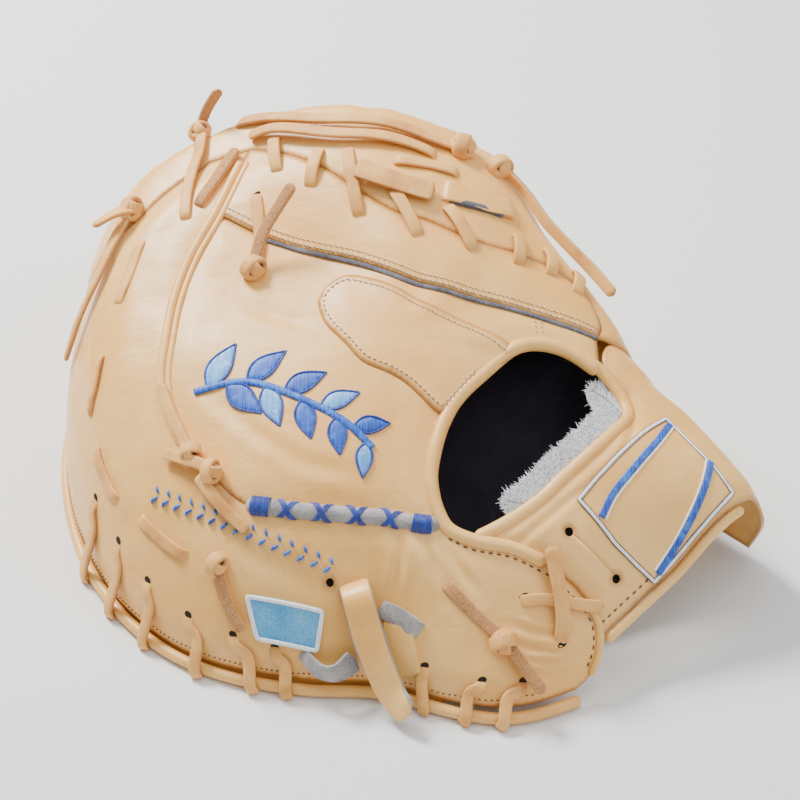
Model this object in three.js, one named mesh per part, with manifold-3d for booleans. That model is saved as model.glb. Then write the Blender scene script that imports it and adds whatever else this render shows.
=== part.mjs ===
// A first base mitt for the right hand, lying palm down on a flat surface.
// Millimetres, +Z up, +X towards the wrist strap, +Y towards the finger side.
// The back is one domed form. A place on it is a spoke angle in degrees, measured
// round the crown from +X, and a share of that spoke from the crown out to its foot.

import * as THREE from "three";
import { mergeVertices } from "three/addons/utils/BufferGeometryUtils.js";
import Module from "manifold-3d";

const wasm = await Module();
wasm.setup();

// Driving sizes of the form
const REACH = 150;
const CREST_HEIGHT = 147;
const CROWN_TILT = 0.34;

// Walls and spaces
const LEATHER = 2.4;
const GAP = 0.35;
const PALM_PAD = 11;
const PALM_INSET = 14;
const HAND_SPACE = 33;
const LINING = 1.2;
const FLEECE = 4;
const PATCH_THICK = 1.6;

// Rolls and pipings, with how far each sinks into the seam that it covers
const RIM_ROLL = 5.4;
const HOLE_ROLL = 6.4;
const HOLE_SINK = 0.4;
const PIPING = 2.6;
const PIPING_RISE = 0.5;
const BAR_ROLL = 7.4;
const BAR_SINK = 0.6;
const STRAP_ROLL = 4.2;
const ROLL_REACH = 4 * GAP;
const SLOT_ROOM = 3 * GAP;
const WRIST_STEP = 34;
const FOOT_CLEAR = 0.2;

// Laces, knots and straps
const LACE_WIDTH = 5.4;
const LACE_THICK = 2.2;
const LOOP_ARCH = 1;
const STRAP_WIDTH = 13;
const EYELET = 4;
const KNOT_SIZE = 10.5;
const KNOT = { ring: 0.34, cord: 0.2, core: 0.46, lean: 0.9 };
const ON_SKIN = GAP + LACE_THICK / 2;
const LAYER = LACE_THICK + GAP;

// How finely the form is faceted
const SPOKE_COUNT = 36;
const RINGS = [0, 0.2, 0.38, 0.54, 0.67, 0.78, 0.86, 0.92, 0.965, 1];
const BELOW = 20;
const TALL = 400;

// One row for each spoke: the foot as a share of REACH, and the heights at four
// stations along the spoke as shares of CREST_HEIGHT.
const STATIONS = [0, 0.35, 0.65, 0.85, 0.95, 1];
const CROWN_SHARE = 0.72;
const SPOKES = [
  { angle: 0, foot: 0.87, inner: 0.7, middle: 0.635, shoulder: 0.55, brow: 0.38 },
  { angle: 20, foot: 0.755, inner: 0.745, middle: 0.715, shoulder: 0.66, brow: 0.475 },
  { angle: 45, foot: 0.735, inner: 0.8, middle: 0.81, shoulder: 0.76, brow: 0.55 },
  { angle: 67, foot: 0.88, inner: 0.845, middle: 0.905, shoulder: 0.875, brow: 0.61 },
  { angle: 90, foot: 0.9, inner: 0.86, middle: 0.96, shoulder: 0.985, brow: 0.69 },
  { angle: 110, foot: 1.02, inner: 0.84, middle: 0.945, shoulder: 0.965, brow: 0.68 },
  { angle: 137, foot: 1.23, inner: 0.77, middle: 0.82, shoulder: 0.79, brow: 0.62 },
  { angle: 160, foot: 1.12, inner: 0.715, middle: 0.7, shoulder: 0.625, brow: 0.435 },
  { angle: 180, foot: 1.03, inner: 0.685, middle: 0.625, shoulder: 0.515, brow: 0.34 },
  { angle: 200, foot: 0.975, inner: 0.655, middle: 0.545, shoulder: 0.38, brow: 0.22 },
  { angle: 225, foot: 0.92, inner: 0.62, middle: 0.485, shoulder: 0.285, brow: 0.135 },
  { angle: 250, foot: 0.83, inner: 0.605, middle: 0.45, shoulder: 0.26, brow: 0.12 },
  { angle: 268, foot: 0.8, inner: 0.59, middle: 0.43, shoulder: 0.24, brow: 0.11 },
  { angle: 290, foot: 0.95, inner: 0.565, middle: 0.375, shoulder: 0.19, brow: 0.09 },
  { angle: 308, foot: 1, inner: 0.565, middle: 0.4, shoulder: 0.21, brow: 0.1 },
  { angle: 326, foot: 1.167, inner: 0.58, middle: 0.42, shoulder: 0.218, brow: 0.095 },
  { angle: 341, foot: 1.32, inner: 0.6, middle: 0.49, shoulder: 0.333, brow: 0.136 },
  { angle: 352, foot: 1.03, inner: 0.655, middle: 0.56, shoulder: 0.49, brow: 0.3 },
];
const FOOT_SLOPE = 1.5;

// The wrist's end: an upright cut across the form, as a direction and a distance
// from the crown as a share of REACH
const WRIST_ANGLE = -50.6;
const WRIST_SHARE = 0.947;
const STRAP_ANGLES = [311, 317, 323, 329, 335, 338, 340.5];

// The hand's space under the back: the spoke it opens towards, how far to each side
// it stays full and where it has closed, and the shares between which it closes
const HAND_WAY = { angle: 335, full: 22, closed: 48, from: 0.35, to: 0.9 };

// Seam lines over the back, each place as [spoke angle, share]
const CREASE_TOP = [[123, 0.743], [129, 0.67], [139, 0.601]];
const CREASE = [
  [139, 0.601], [152, 0.614], [163, 0.637], [174, 0.659], [186, 0.694], [198, 0.697], [210, 0.69],
];
const BAR_LINE = [[226, 0.687], [238, 0.651], [252, 0.631], [266, 0.627], [280.5, 0.592]];
const BAR_END = [284, 0.575];
const MID_SEAM = [
  [139, 0.601], [136, 0.444], [118, 0.279], [78, 0.2], [41, 0.288], [17, 0.506], [8, 0.753],
];
const FAR_EDGE = [
  [8, 0.753], [13, 0.808], [24, 0.823], [32, 0.765], [40, 0.66], [55, 0.482], [74, 0.416],
  [90, 0.43], [102, 0.481], [111, 0.575], [118, 0.675], [123, 0.743],
];
const HOLE_UPPER = [
  [284, 0.54], [284, 0.457], [292, 0.334], [309, 0.254], [336, 0.204], [355, 0.339], [1, 0.476],
  [1, 0.573], [357, 0.662],
];
const BINDING_HEEL = [[286, 0.585], [292, 0.612], [301, 0.66], [307, 0.724]];
const STRAP_TOP = [
  [353, 0.685], [345, 0.565], [337, 0.505], [325, 0.53], [314, 0.572], [302, 0.6], [293, 0.608],
];
const HEEL_START = [290, 0.6];
const HEEL_EDGE = [
  [301, 0.662], [307, 0.726], [311, 0.82], [311, 0.877], [309, 0.929], [306, 0.968], [302, 1.01],
];
const STRAP_FAR = [[4, 1.04], [5, 0.9], [5, 0.8], [357, 0.705]];
const TIP_EDGE = [[155, 1.04], [153, 0.93], [150, 0.86], [145, 0.8], [138, 0.765], [130, 0.765]];
const PIPING_TOP = [126, 0.705];

// Spoke angles of the outlines that run past the foot, and how far past they run
const RIM_ANGLES = [299, 290, 277, 264, 251, 238, 225, 212, 199, 186, 173, 162];
const STRAP_FOOT = [312, 326, 341, 352];
const BEYOND_FOOT = 1.04;
const FAR_FOOT = [10, 30, 50, 70, 90, 110, 130, 145, 157];
const BEYOND_WALL = 1.08;

// Pieces laid on the panels, and the linings
const STRAP_EYELETS = [[315, 0.669], [318, 0.791]];
const THUMB_EYELET = [253, 0.8];
const PAD = [
  [151, 0.23], [140, 0.229], [126, 0.228], [108, 0.19], [86, 0.162], [50, 0.17], [23, 0.231],
  [358, 0.38], [355, 0.36], [336, 0.205], [309, 0.254], [300, 0.262], [274, 0.162], [220, 0.14],
  [188, 0.154], [165, 0.202],
];
const LABEL = [
  [350, 0.745], [342, 0.57], [335, 0.547], [328, 0.57], [321, 0.599], [321, 0.664], [321, 0.723],
  [322, 0.778], [323, 0.826], [328, 0.806], [332, 0.787], [336, 0.777], [341, 0.795], [343, 0.759],
  [345, 0.733], [348, 0.733],
];
const PATCH = [[235, 0.858], [253, 0.858], [253, 0.94], [240, 0.935]];
const LINING_EDGE = [
  [300, 0.15], [350, 0.12], [16, 0.34], [18, 0.56], [12, 0.72], [354, 0.8], [338, 0.74],
  [322, 0.8], [308, 0.8], [298, 0.68], [282, 0.62], [274, 0.38],
];
const FLEECE_EDGE = [
  [355, 0.66], [352, 0.56], [345, 0.49], [337, 0.445], [325, 0.47], [314, 0.51], [305, 0.545],
  [309, 0.7], [314, 0.86], [322, 0.855], [330, 0.82], [340, 0.8], [348, 0.8], [352, 0.76],
];

// The rolled rim, from one spoke angle to another, with steps along it
const NEAR_RIM = { from: 158, to: 303, beyond: 0.4, steps: 22 };
const FAR_RIM = { from: 14, to: 155, beyond: RIM_ROLL / 2 + GAP + 0.6, steps: 20 };

// Whip laces over the near rim: the spoke angle and share of the upper end, and how
// many degrees further round the lower end is
const NEAR_LOOPS = [
  [195, 0.955, 4], [205, 0.95, 4], [215, 0.95, 4], [226, 0.95, 5], [236, 0.95, 6],
  [244.5, 0.955, 4], [276, 0.945, -1], [286, 0.945, -4], [293, 0.95, -5],
];
const LOOP_TURN = 0.975;

// Whip laces over the far seam, each from one place to another
const FAR_LOOPS = [
  [[118, 0.745], [122, 0.62]],
  [[111, 0.65], [117, 0.54]],
  [[104, 0.64], [106, 0.42]],
  [[91, 0.5], [79, 0.36]],
  [[69, 0.49], [52, 0.47]],
  [[45, 0.7], [37, 0.635]],
  [[38, 0.8], [30, 0.735]],
  [[30, 0.86], [23, 0.79]],
];

// Free and knotted laces. Runs are places of [spoke angle, share, layer], where layer
// counts lace thicknesses above the leather. Knots are [spoke angle, share, layer, size
// as a share of KNOT_SIZE, twist]. A turn, in radians, sets a lace on its edge.
const LACES = {
  ridge_lace_upper: {
    runs: [[
      [121, 0.855, 0.06], [117, 0.835, 0.8], [108, 0.762, 1.55], [94, 0.756, 1.55],
      [80, 0.745, 1], [71, 0.765, 0.06],
    ]],
    knots: [[73.5, 0.762, 1, 1.2, 1.2]],
  },
  ridge_lace_lower: {
    runs: [[
      [121.5, 0.785, 0.4], [117, 0.765, 1.55], [107, 0.697, 1.55], [92, 0.7, 1], [80, 0.687, 0.06],
    ]],
  },
  ridge_flat_end: { runs: [[[90, 0.62, 0.06], [80, 0.625, 0.15], [72, 0.635, 0.06]]] },
  ridge_band: {
    width: 1.7 * LACE_WIDTH,
    runs: [[[103, 0.56, 1.4], [95, 0.535, 1.3], [85, 0.515, 1.1], [76, 0.51, 1.1]]],
  },
  ridge_tab: {
    width: 2 * LACE_WIDTH,
    runs: [[[72, 0.545, 0.06], [66, 0.57, 0.06], [58, 0.645, 0.06], [53, 0.735, 0.06]]],
  },
  tip_lace: {
    runs: [
      [[127, 0.88, 1], [125, 0.87, 4.1], [122, 0.86, 7.3]],
      [[127, 0.86, 1], [130, 0.8, 0.76], [134, 0.75, 0.53], [139, 0.7, 0.3], [143, 0.668, 0.06]],
    ],
    knots: [[127, 0.87, 1.2, 1, 0.3]],
  },
  tip_suede_end: { runs: [[[125, 0.75, 0.53], [132, 0.685, 0.3], [139, 0.655, 0.06]]] },
  web_lace: {
    runs: [
      [[146, 0.83, 0.5], [152, 0.845, 1], [158, 0.865, 1.2], [163, 0.9, 1.4], [167, 0.945, 1.4]],
      [[145, 0.81, 0.5], [147, 0.83, 3], [150, 0.865, 4.5]],
    ],
    knots: [[145, 0.825, 0.7, 1.1, 1]],
  },
  web_slot_lace: { runs: [[[151, 0.765, 0.02], [157, 0.78, 0.06], [163, 0.8, 0.02]]] },
  ridge_free_end: {
    turn: 1,
    runs: [[
      [63, 0.805, 1], [56, 0.825, 1.3], [47, 0.848, 1.7], [38, 0.862, 2.1], [29, 0.872, 2.5],
      [21, 0.878, 2.8],
    ]],
    knots: [[63.5, 0.8, 0.8, 1.14, 0.4]],
  },
  crease_lace: {
    runs: [
      [[186, 0.692, 0.76], [193, 0.688, 0.76], [200, 0.684, 0.85], [206, 0.684, 1.4]],
      [[216, 0.662, 1.4], [209, 0.69, 1.8], [201, 0.744, 1]],
      [[212, 0.704, 1.4], [221, 0.716, 1], [230, 0.735, 0.4]],
    ],
    knots: [[206, 0.684, 1.4, 0.9, 0], [214, 0.675, 1.4, 1, 1.2]],
  },
  standing_lace: {
    runs: [
      [[130, 0.56, 0.02], [139, 0.45, 0.2], [148, 0.425, 1]],
      [[148, 0.425, 1.4], [139, 0.43, 4], [129, 0.45, 6.4], [121, 0.485, 8.2]],
    ],
    knots: [[148, 0.425, 1.2, 1.1, 0.6]],
  },
  slot_lace_1: {
    width: 0.55 * LACE_WIDTH,
    runs: [[[174, 0.852, 0.02], [178, 0.875, 0.02], [182, 0.9, 0.02]]],
  },
  slot_lace_2: { runs: [[[189, 0.905, 0.02], [194, 0.905, 0.14], [199, 0.9, 0.02]]] },
  slot_lace_3: { runs: [[[207, 0.872, 0.02], [213, 0.862, 0.14], [219, 0.852, 0.02]]] },
  thumb_lace: {
    runs: [[[225, 0.81, 0.02], [228, 0.837, 0.6], [232, 0.88, 1], [237, 0.925, 1]]],
    knots: [[227, 0.825, 1, 1, 0.8]],
  },
  heel_lace: {
    runs: [[
      [283, 0.735, 0.02], [288, 0.788, 0.1], [292, 0.84, 0.6], [294, 0.9, 1.6], [296, 0.96, 2.8],
    ]],
    knots: [[292, 0.847, 1.16, 1.1, 0.2]],
  },
  cross_lace_under: {
    runs: [[
      [299, 0.777, 0.06], [303, 0.79, 0.4], [307, 0.812, 0.85], [310, 0.828, 0.96], [313, 0.84, 0.85],
    ]],
  },
  cross_lace_over: {
    width: 1.2 * LACE_WIDTH,
    runs: [[
      [309, 0.69, 1.9], [307.5, 0.745, 1.9], [306, 0.8, 1.95], [304.5, 0.85, 1.3], [303, 0.885, 0.06],
    ]],
  },
  thumb_strap: {
    width: STRAP_WIDTH,
    runs: [[
      [259, 0.8, 0.14], [260, 0.82, 2.6], [263, 0.885, 3], [267, 0.945, 3.4], [271, 0.98, 4.1],
      [275, 0.99, 6.1],
    ]],
  },
  thumb_strap_run: {
    width: 0.7 * STRAP_WIDTH,
    runs: [[[250, 0.945, 0.1], [254, 0.962, 2.2], [257, 0.962, 2.6], [261, 0.945, 1]]],
  },
  thumb_felt_fold: {
    width: 0.6 * STRAP_WIDTH,
    runs: [[[267, 0.845, 0.1], [271, 0.85, 0.3], [275, 0.862, 0.1]]],
  },
};

// Colours and roughness
const LEATHER_COLOR = 0xedcb9c;
const LACE_COLOR = 0xe0b78e;
const FELT_COLOR = 0x8a8fa6;
const LABEL_COLOR = 0xe6cfa8;
const PATCH_COLOR = 0x52a3d0;
const LINING_COLOR = 0x16141a;
const FLEECE_COLOR = 0xeceaf0;
const SMOOTH = 0.6;
const SUEDE = 0.75;
const WOOLLY = 0.95;

const group = new THREE.Group();

// Solids and meshes

function toSolid(geometry) {
  const bare = geometry.clone();
  bare.deleteAttribute("normal");
  bare.deleteAttribute("uv");
  const merged = mergeVertices(bare, 1e-4);
  return new wasm.Manifold(new wasm.Mesh({
    numProp: 3,
    vertProperties: new Float32Array(merged.attributes.position.array),
    triVerts: new Uint32Array(merged.index.array),
  }));
}

// A closed solid whose faces point out, whichever way round it was wound
function orient(geometry) {
  const solid = toSolid(geometry);
  if (solid.volume() > 0) {
    return solid;
  }
  const index = geometry.index ?? new THREE.BufferAttribute(
    Uint32Array.from({ length: geometry.attributes.position.count }, (_, k) => k), 1,
  );
  const turned = geometry.clone();
  turned.setIndex(Array.from(index.array).reverse());
  return toSolid(turned);
}

function addSolid(name, solid, color, roughness = SMOOTH) {
  const mesh = solid.getMesh();
  const geometry = new THREE.BufferGeometry();
  geometry.setAttribute("position", new THREE.BufferAttribute(mesh.vertProperties, 3));
  geometry.setIndex(new THREE.BufferAttribute(mesh.triVerts, 1));
  geometry.computeVertexNormals();
  const material = new THREE.MeshStandardMaterial({ color, roughness, metalness: 0 });
  const piece = new THREE.Mesh(geometry, material);
  piece.name = name;
  group.add(piece);
}

function fuse(solids) {
  return solids.reduce((whole, solid) => whole.add(solid));
}

// A block that keeps what is higher than a level
function above(level) {
  const block = new THREE.BoxGeometry(TALL * 2, TALL * 2, TALL);
  return toSolid(block.translate(0, 0, level + TALL / 2));
}

const aboveFloor = above(0);
const aboveRoll = above(RIM_ROLL + 2 * GAP);

// The form

function hermite(x0, x1, y0, y1, slope0, slope1, x) {
  const span = x1 - x0;
  const t = (x - x0) / span;
  const t2 = t * t;
  const t3 = t2 * t;
  return (2 * t3 - 3 * t2 + 1) * y0 + (t3 - 2 * t2 + t) * span * slope0
    + (3 * t2 - 2 * t3) * y1 + (t3 - t2) * span * slope1;
}

// A column of the spoke table at any angle, smooth all the way round
function around(column, angle) {
  const turn = ((angle % 360) + 360) % 360;
  const count = SPOKES.length;
  const row = SPOKES.findLastIndex((spoke) => spoke.angle <= turn);
  const angleOf = (k) => SPOKES[(k + count) % count].angle + 360 * Math.floor(k / count);
  const valueOf = (k) => SPOKES[(k + count) % count][column];
  const slopeOf = (k) => (valueOf(k + 1) - valueOf(k - 1)) / (angleOf(k + 1) - angleOf(k - 1));
  return hermite(
    angleOf(row), angleOf(row + 1), valueOf(row), valueOf(row + 1), slopeOf(row), slopeOf(row + 1), turn,
  );
}

function footRadius(angle) {
  return REACH * around("foot", angle);
}

// Height along one spoke, through its stations without overshoot
function alongSpoke(heights, share, crownSlope) {
  const last = STATIONS.length - 1;
  const rise = (k) => (heights[k + 1] - heights[k]) / (STATIONS[k + 1] - STATIONS[k]);
  const slope = (k) => {
    if (k === 0) {
      return crownSlope;
    }
    if (k === last) {
      return FOOT_SLOPE * rise(last - 1);
    }
    const product = rise(k - 1) * rise(k);
    return product > 0 ? (2 * product) / (rise(k - 1) + rise(k)) : 0;
  };
  const k = Math.min(last - 1, STATIONS.findLastIndex((station) => station <= share));
  return hermite(
    STATIONS[k], STATIONS[k + 1], heights[k], heights[k + 1], slope(k), slope(k + 1), share,
  );
}

// The bare form, with no offset, at a spoke angle and a share
function formPoint(angle, share) {
  const radians = THREE.MathUtils.degToRad(angle);
  const foot = footRadius(angle);
  const columns = ["inner", "middle", "shoulder", "brow"];
  const heights = columns.map((column) => CREST_HEIGHT * around(column, angle));
  heights.unshift(CREST_HEIGHT * CROWN_SHARE);
  heights.push(0);
  const crownSlope = foot * CROWN_TILT * Math.sin(radians);
  return new THREE.Vector3(
    share * foot * Math.cos(radians),
    share * foot * Math.sin(radians),
    alongSpoke(heights, share, crownSlope),
  );
}

function formNormal(angle, share) {
  const place = THREE.MathUtils.clamp(share, 0.04, 0.995);
  const out = formPoint(angle, place + 0.005).sub(formPoint(angle, place - 0.005));
  const along = formPoint(angle + 1, place).sub(formPoint(angle - 1, place));
  return out.cross(along).normalize();
}

// The form's normal beside a point near it
function outward(point) {
  const angle = THREE.MathUtils.radToDeg(Math.atan2(point.y, point.x));
  return formNormal(angle, Math.hypot(point.x, point.y) / footRadius(angle));
}

// A place lifted off the form along its normal
function skin(angle, share, lift = 0) {
  return formPoint(angle, share).addScaledVector(formNormal(angle, share), lift);
}

// How far the hand's space opens under the back, widest towards the wrist
function handGap(angle, share) {
  const aside = Math.abs(((angle - HAND_WAY.angle + 540) % 360) - 180);
  const wrist = 1 - THREE.MathUtils.smoothstep(aside, HAND_WAY.full, HAND_WAY.closed);
  const inner = 1 - THREE.MathUtils.smoothstep(share, HAND_WAY.from, HAND_WAY.to);
  return HAND_SPACE * Math.max(inner, wrist);
}

// The upper face of the padded palm, which the hand lies on
function palmTop(angle, share, lift = 0) {
  const point = skin(angle, share, -LEATHER - GAP + lift);
  point.z -= handGap(angle, share);
  return point;
}

// The pocket, under the pad
function palmPocket(angle, share) {
  const point = palmTop(angle, share);
  const foot = footRadius(angle);
  const pull = (foot - PALM_INSET) / foot;
  point.x *= pull;
  point.y *= pull;
  point.z -= PALM_PAD;
  return point;
}

// A closed body from a surface of spokes and rings straight down past the floor
function bodyUnder(surface) {
  const positions = [];
  const index = [];
  const push = (point) => positions.push(point.x, point.y, point.z);
  push(surface(0, 0));
  for (const share of RINGS.slice(1)) {
    for (let k = 0; k < SPOKE_COUNT; k += 1) {
      push(surface((360 * k) / SPOKE_COUNT, share));
    }
  }
  const rim = positions.length / 3 - SPOKE_COUNT;
  for (let k = 0; k < SPOKE_COUNT; k += 1) {
    const at = 3 * (rim + k);
    positions.push(positions[at], positions[at + 1], -BELOW);
  }
  const base = positions.length / 3;
  positions.push(0, 0, -BELOW);
  for (let k = 0; k < SPOKE_COUNT; k += 1) {
    const next = (k + 1) % SPOKE_COUNT;
    index.push(0, 1 + k, 1 + next);
    for (let ring = 0; ring < RINGS.length - 1; ring += 1) {
      const here = 1 + ring * SPOKE_COUNT;
      const beyond = here + SPOKE_COUNT;
      index.push(here + k, beyond + k, beyond + next);
      index.push(here + k, beyond + next, here + next);
    }
    index.push(base, base - SPOKE_COUNT + next, base - SPOKE_COUNT + k);
  }
  const geometry = new THREE.BufferGeometry();
  geometry.setAttribute("position", new THREE.Float32BufferAttribute(positions, 3));
  geometry.setIndex(index);
  return toSolid(geometry);
}

// What lies between two depths under the form, or above it where they are positive
function layer(low, high) {
  return bodyUnder((angle, share) => skin(angle, share, high))
    .subtract(bodyUnder((angle, share) => skin(angle, share, low)));
}

// Outlines over the back

const plan = ([angle, share]) => formPoint(angle, share).setZ(0);
const at = (share) => (angle) => [angle, share];

function smoothLine(places, pieces = 2) {
  const curve = new THREE.CatmullRomCurve3(places.map(plan), false, "centripetal");
  return curve.getPoints(pieces * (places.length - 1));
}

// A closed outline from seam lines, drawn in or grown by a margin
function outline(lines, margin = 0) {
  const apart = 1.5;
  const points = lines.flat().filter((point, k, all) => point.distanceTo(all.at(k - 1)) > apart);
  if (THREE.ShapeUtils.area(points) < 0) {
    points.reverse();
  }
  return points.map((point, k) => {
    const before = points.at(k - 1);
    const after = points[(k + 1) % points.length];
    const way = after.clone().sub(before).normalize();
    return new THREE.Vector2(point.x + way.y * margin, point.y - way.x * margin);
  });
}

// An upright prism over an outline
function prism(points) {
  const depth = BELOW + TALL;
  const geometry = new THREE.ExtrudeGeometry(new THREE.Shape(points), { depth, bevelEnabled: false });
  return toSolid(geometry.translate(0, 0, -BELOW));
}

function closedArea(places) {
  return prism(outline([smoothLine([...places, places[0]], 1)]));
}

const leatherLayer = layer(-LEATHER, 0);

function panel(lines) {
  return leatherLayer.intersect(prism(outline(lines, -GAP / 2))).intersect(aboveFloor);
}

// Strips and cords, each along a route of [spoke angle, share, lift]

function route(places, steps = 2 * (places.length - 1)) {
  const points = places.map(([angle, share, lift]) => skin(angle, share, lift));
  return new THREE.CatmullRomCurve3(points, false, "centripetal").getPoints(steps);
}

// A flat strip bent along points, with its flat side to the form's outside, or turned
// from it round its own run
function stripSolid(points, width = LACE_WIDTH, turn = 0) {
  const steps = points.length - 1;
  const box = new THREE.BoxGeometry(1, 1, 1, steps, 1, 1);
  const position = box.attributes.position;
  for (let v = 0; v < position.count; v += 1) {
    const k = Math.round((position.getX(v) + 0.5) * steps);
    const here = points[k];
    const way = points[Math.min(k + 1, steps)].clone().sub(points[Math.max(k - 1, 0)]).normalize();
    const up = outward(here);
    up.addScaledVector(way, -way.dot(up)).normalize().applyAxisAngle(way, turn);
    const side = way.clone().cross(up);
    const point = here.clone()
      .addScaledVector(side, position.getY(v) * width)
      .addScaledVector(up, position.getZ(v) * LACE_THICK);
    position.setXYZ(v, point.x, point.y, point.z);
  }
  return orient(box);
}

// A rounded roll or cord along points
function rollSolid(points, diameter, sides = 8) {
  const corners = Array.from({ length: sides }, (_, k) => {
    const turn = (2 * Math.PI * (k + 0.5)) / sides;
    return new THREE.Vector2(Math.cos(turn), Math.sin(turn)).multiplyScalar(diameter / 2);
  });
  const curve = new THREE.CatmullRomCurve3(points, false, "centripetal");
  return orient(new THREE.ExtrudeGeometry(new THREE.Shape(corners), {
    steps: points.length - 1, extrudePath: curve, bevelEnabled: false,
  }));
}

// A knot: one lace turn pulled tight round the other
function knotSolid(place, size, twist) {
  const [angle, share, lift] = place;
  const centre = skin(angle, share, lift);
  const up = new THREE.Vector3(0, 0, 1);
  const turn = new THREE.Quaternion().setFromUnitVectors(up, formNormal(angle, share));
  const ring = new THREE.TorusGeometry(size * KNOT.ring, size * KNOT.cord, 4, 6);
  ring.scale(1, 0.8, 1).rotateX(KNOT.lean);
  const core = new THREE.IcosahedronGeometry(size * KNOT.core, 0);
  core.scale(1.25, 0.85, 0.8);
  return fuse([ring, core].map((geometry) => {
    geometry.rotateZ(twist).applyQuaternion(turn);
    return orient(geometry.translate(centre.x, centre.y, centre.z));
  }));
}

// The wrist's end: what lies inside the cut, drawn back from it by a margin

const WRIST_DISTANCE = REACH * WRIST_SHARE;

function wristShare(angle, back) {
  const lean = THREE.MathUtils.degToRad(angle - WRIST_ANGLE);
  return (WRIST_DISTANCE - back) / (Math.cos(lean) * footRadius(angle));
}

function insideWrist(back) {
  const block = new THREE.BoxGeometry(TALL * 2, TALL * 2, TALL * 2);
  block.translate(WRIST_DISTANCE - back - TALL, 0, 0);
  return toSolid(block.rotateZ(THREE.MathUtils.degToRad(WRIST_ANGLE)));
}

// Rolls and pipings, and the slot that the panels beside each one leave for it

// A flat ribbon's outline along points, running past both ends by a reach
function ribbon(points, width, reach) {
  const ends = [points[0].clone().sub(points[1]), points.at(-1).clone().sub(points.at(-2))];
  const first = points[0].clone().addScaledVector(ends[0].normalize(), reach);
  const last = points.at(-1).clone().addScaledVector(ends[1].normalize(), reach);
  const line = [first, ...points.slice(1, -1), last];
  const sides = [width / 2, -width / 2].map((half) => line.map((point, k) => {
    const next = line[Math.min(k + 1, line.length - 1)];
    const way = next.clone().sub(line[Math.max(k - 1, 0)]).setZ(0).normalize();
    return new THREE.Vector2(point.x - way.y * half, point.y + way.x * half);
  }));
  return [...sides[0], ...sides[1].reverse()];
}

function roll(places, lift, diameter, steps, sides, reach = ROLL_REACH) {
  const points = route(places.map(([angle, share]) => [angle, share, lift]), steps);
  return {
    solid: rollSolid(points, diameter, sides),
    slot: prism(ribbon(points, diameter + SLOT_ROOM, reach)),
  };
}

const bindingPlaces = [...HOLE_UPPER.toReversed(), ...BINDING_HEEL];
const strapLow = STRAP_ANGLES.map((angle) => [angle, wristShare(angle, STRAP_ROLL / 2)]);
const holeBinding = roll(bindingPlaces, -HOLE_SINK, HOLE_ROLL, 22, 8);
const creasePiping = roll([PIPING_TOP, CREASE_TOP[1], ...CREASE], PIPING_RISE, PIPING, 14, 5);
const heelPiping = roll(HEEL_EDGE.slice(2, -1), PIPING_RISE, PIPING, 6, 5);
const strapRoll = roll(strapLow, -STRAP_ROLL / 3, STRAP_ROLL, 10, 7);
const crotchBar = roll(BAR_LINE, -BAR_SINK, BAR_ROLL, 8, 8, BAR_ROLL / 2);

addSolid("hole_binding", holeBinding.solid, LEATHER_COLOR);
addSolid("crease_piping", creasePiping.solid, LEATHER_COLOR);
addSolid("heel_piping", heelPiping.solid, LEATHER_COLOR);
addSolid("strap_edge_roll", strapRoll.solid, LEATHER_COLOR);
addSolid("crotch_bar", crotchBar.solid, FELT_COLOR, WOOLLY);

// Back panels

const tipLine = smoothLine(TIP_EDGE);
const farLine = smoothLine(FAR_EDGE);
const midLine = smoothLine(MID_SEAM, 3);
const creaseTopLine = smoothLine(CREASE_TOP);
const creaseLine = smoothLine(CREASE);
const heelLine = smoothLine(HEEL_EDGE);
const barLine = smoothLine([CREASE.at(-1), ...BAR_LINE, BAR_END]);

function eyeletHole([angle, share]) {
  const bore = new THREE.CylinderGeometry(EYELET / 2, EYELET / 2, 6 * LEATHER, 8);
  const up = formNormal(angle, share);
  bore.applyQuaternion(new THREE.Quaternion().setFromUnitVectors(new THREE.Vector3(0, 1, 0), up));
  const centre = skin(angle, share);
  return orient(bore.translate(centre.x, centre.y, centre.z));
}

function thumbBack() {
  const lines = [
    smoothLine(RIM_ANGLES.map(at(BEYOND_FOOT))),
    tipLine,
    creaseTopLine,
    creaseLine,
    barLine,
    smoothLine([HEEL_START, HEEL_EDGE[0]]),
    heelLine,
  ];
  const slots = [holeBinding.slot, creasePiping.slot, heelPiping.slot, crotchBar.slot];
  return panel(lines).subtract(fuse([...slots, eyeletHole(THUMB_EYELET)])).intersect(aboveRoll);
}

function fingerBack() {
  return panel([creaseLine, barLine, smoothLine(HOLE_UPPER), midLine.toReversed()])
    .subtract(fuse([holeBinding.slot, creasePiping.slot, crotchBar.slot]));
}

function fingerBackUpper() {
  return panel([midLine, farLine, creaseTopLine]).subtract(creasePiping.slot);
}

function wristStrap() {
  const lines = [
    smoothLine(STRAP_TOP),
    heelLine,
    smoothLine(STRAP_FOOT.map(at(BEYOND_FOOT))),
    smoothLine(STRAP_FAR),
  ];
  const slots = [holeBinding.slot, heelPiping.slot, strapRoll.slot];
  return panel(lines)
    .subtract(fuse([...slots, ...STRAP_EYELETS.map(eyeletHole)]))
    .intersect(insideWrist(STRAP_ROLL))
    .intersect(aboveRoll);
}

addSolid("thumb_back", thumbBack(), LEATHER_COLOR);
addSolid("finger_back", fingerBack(), LEATHER_COLOR);
addSolid("finger_back_upper", fingerBackUpper(), LEATHER_COLOR);
addSolid("wrist_strap", wristStrap(), LEATHER_COLOR);

// Pieces laid on the panels

const padLayer = layer(GAP, GAP + LEATHER);
const patchLayer = layer(GAP, GAP + PATCH_THICK);
const fingerPad = padLayer.intersect(closedArea(PAD)).subtract(holeBinding.slot);

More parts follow.
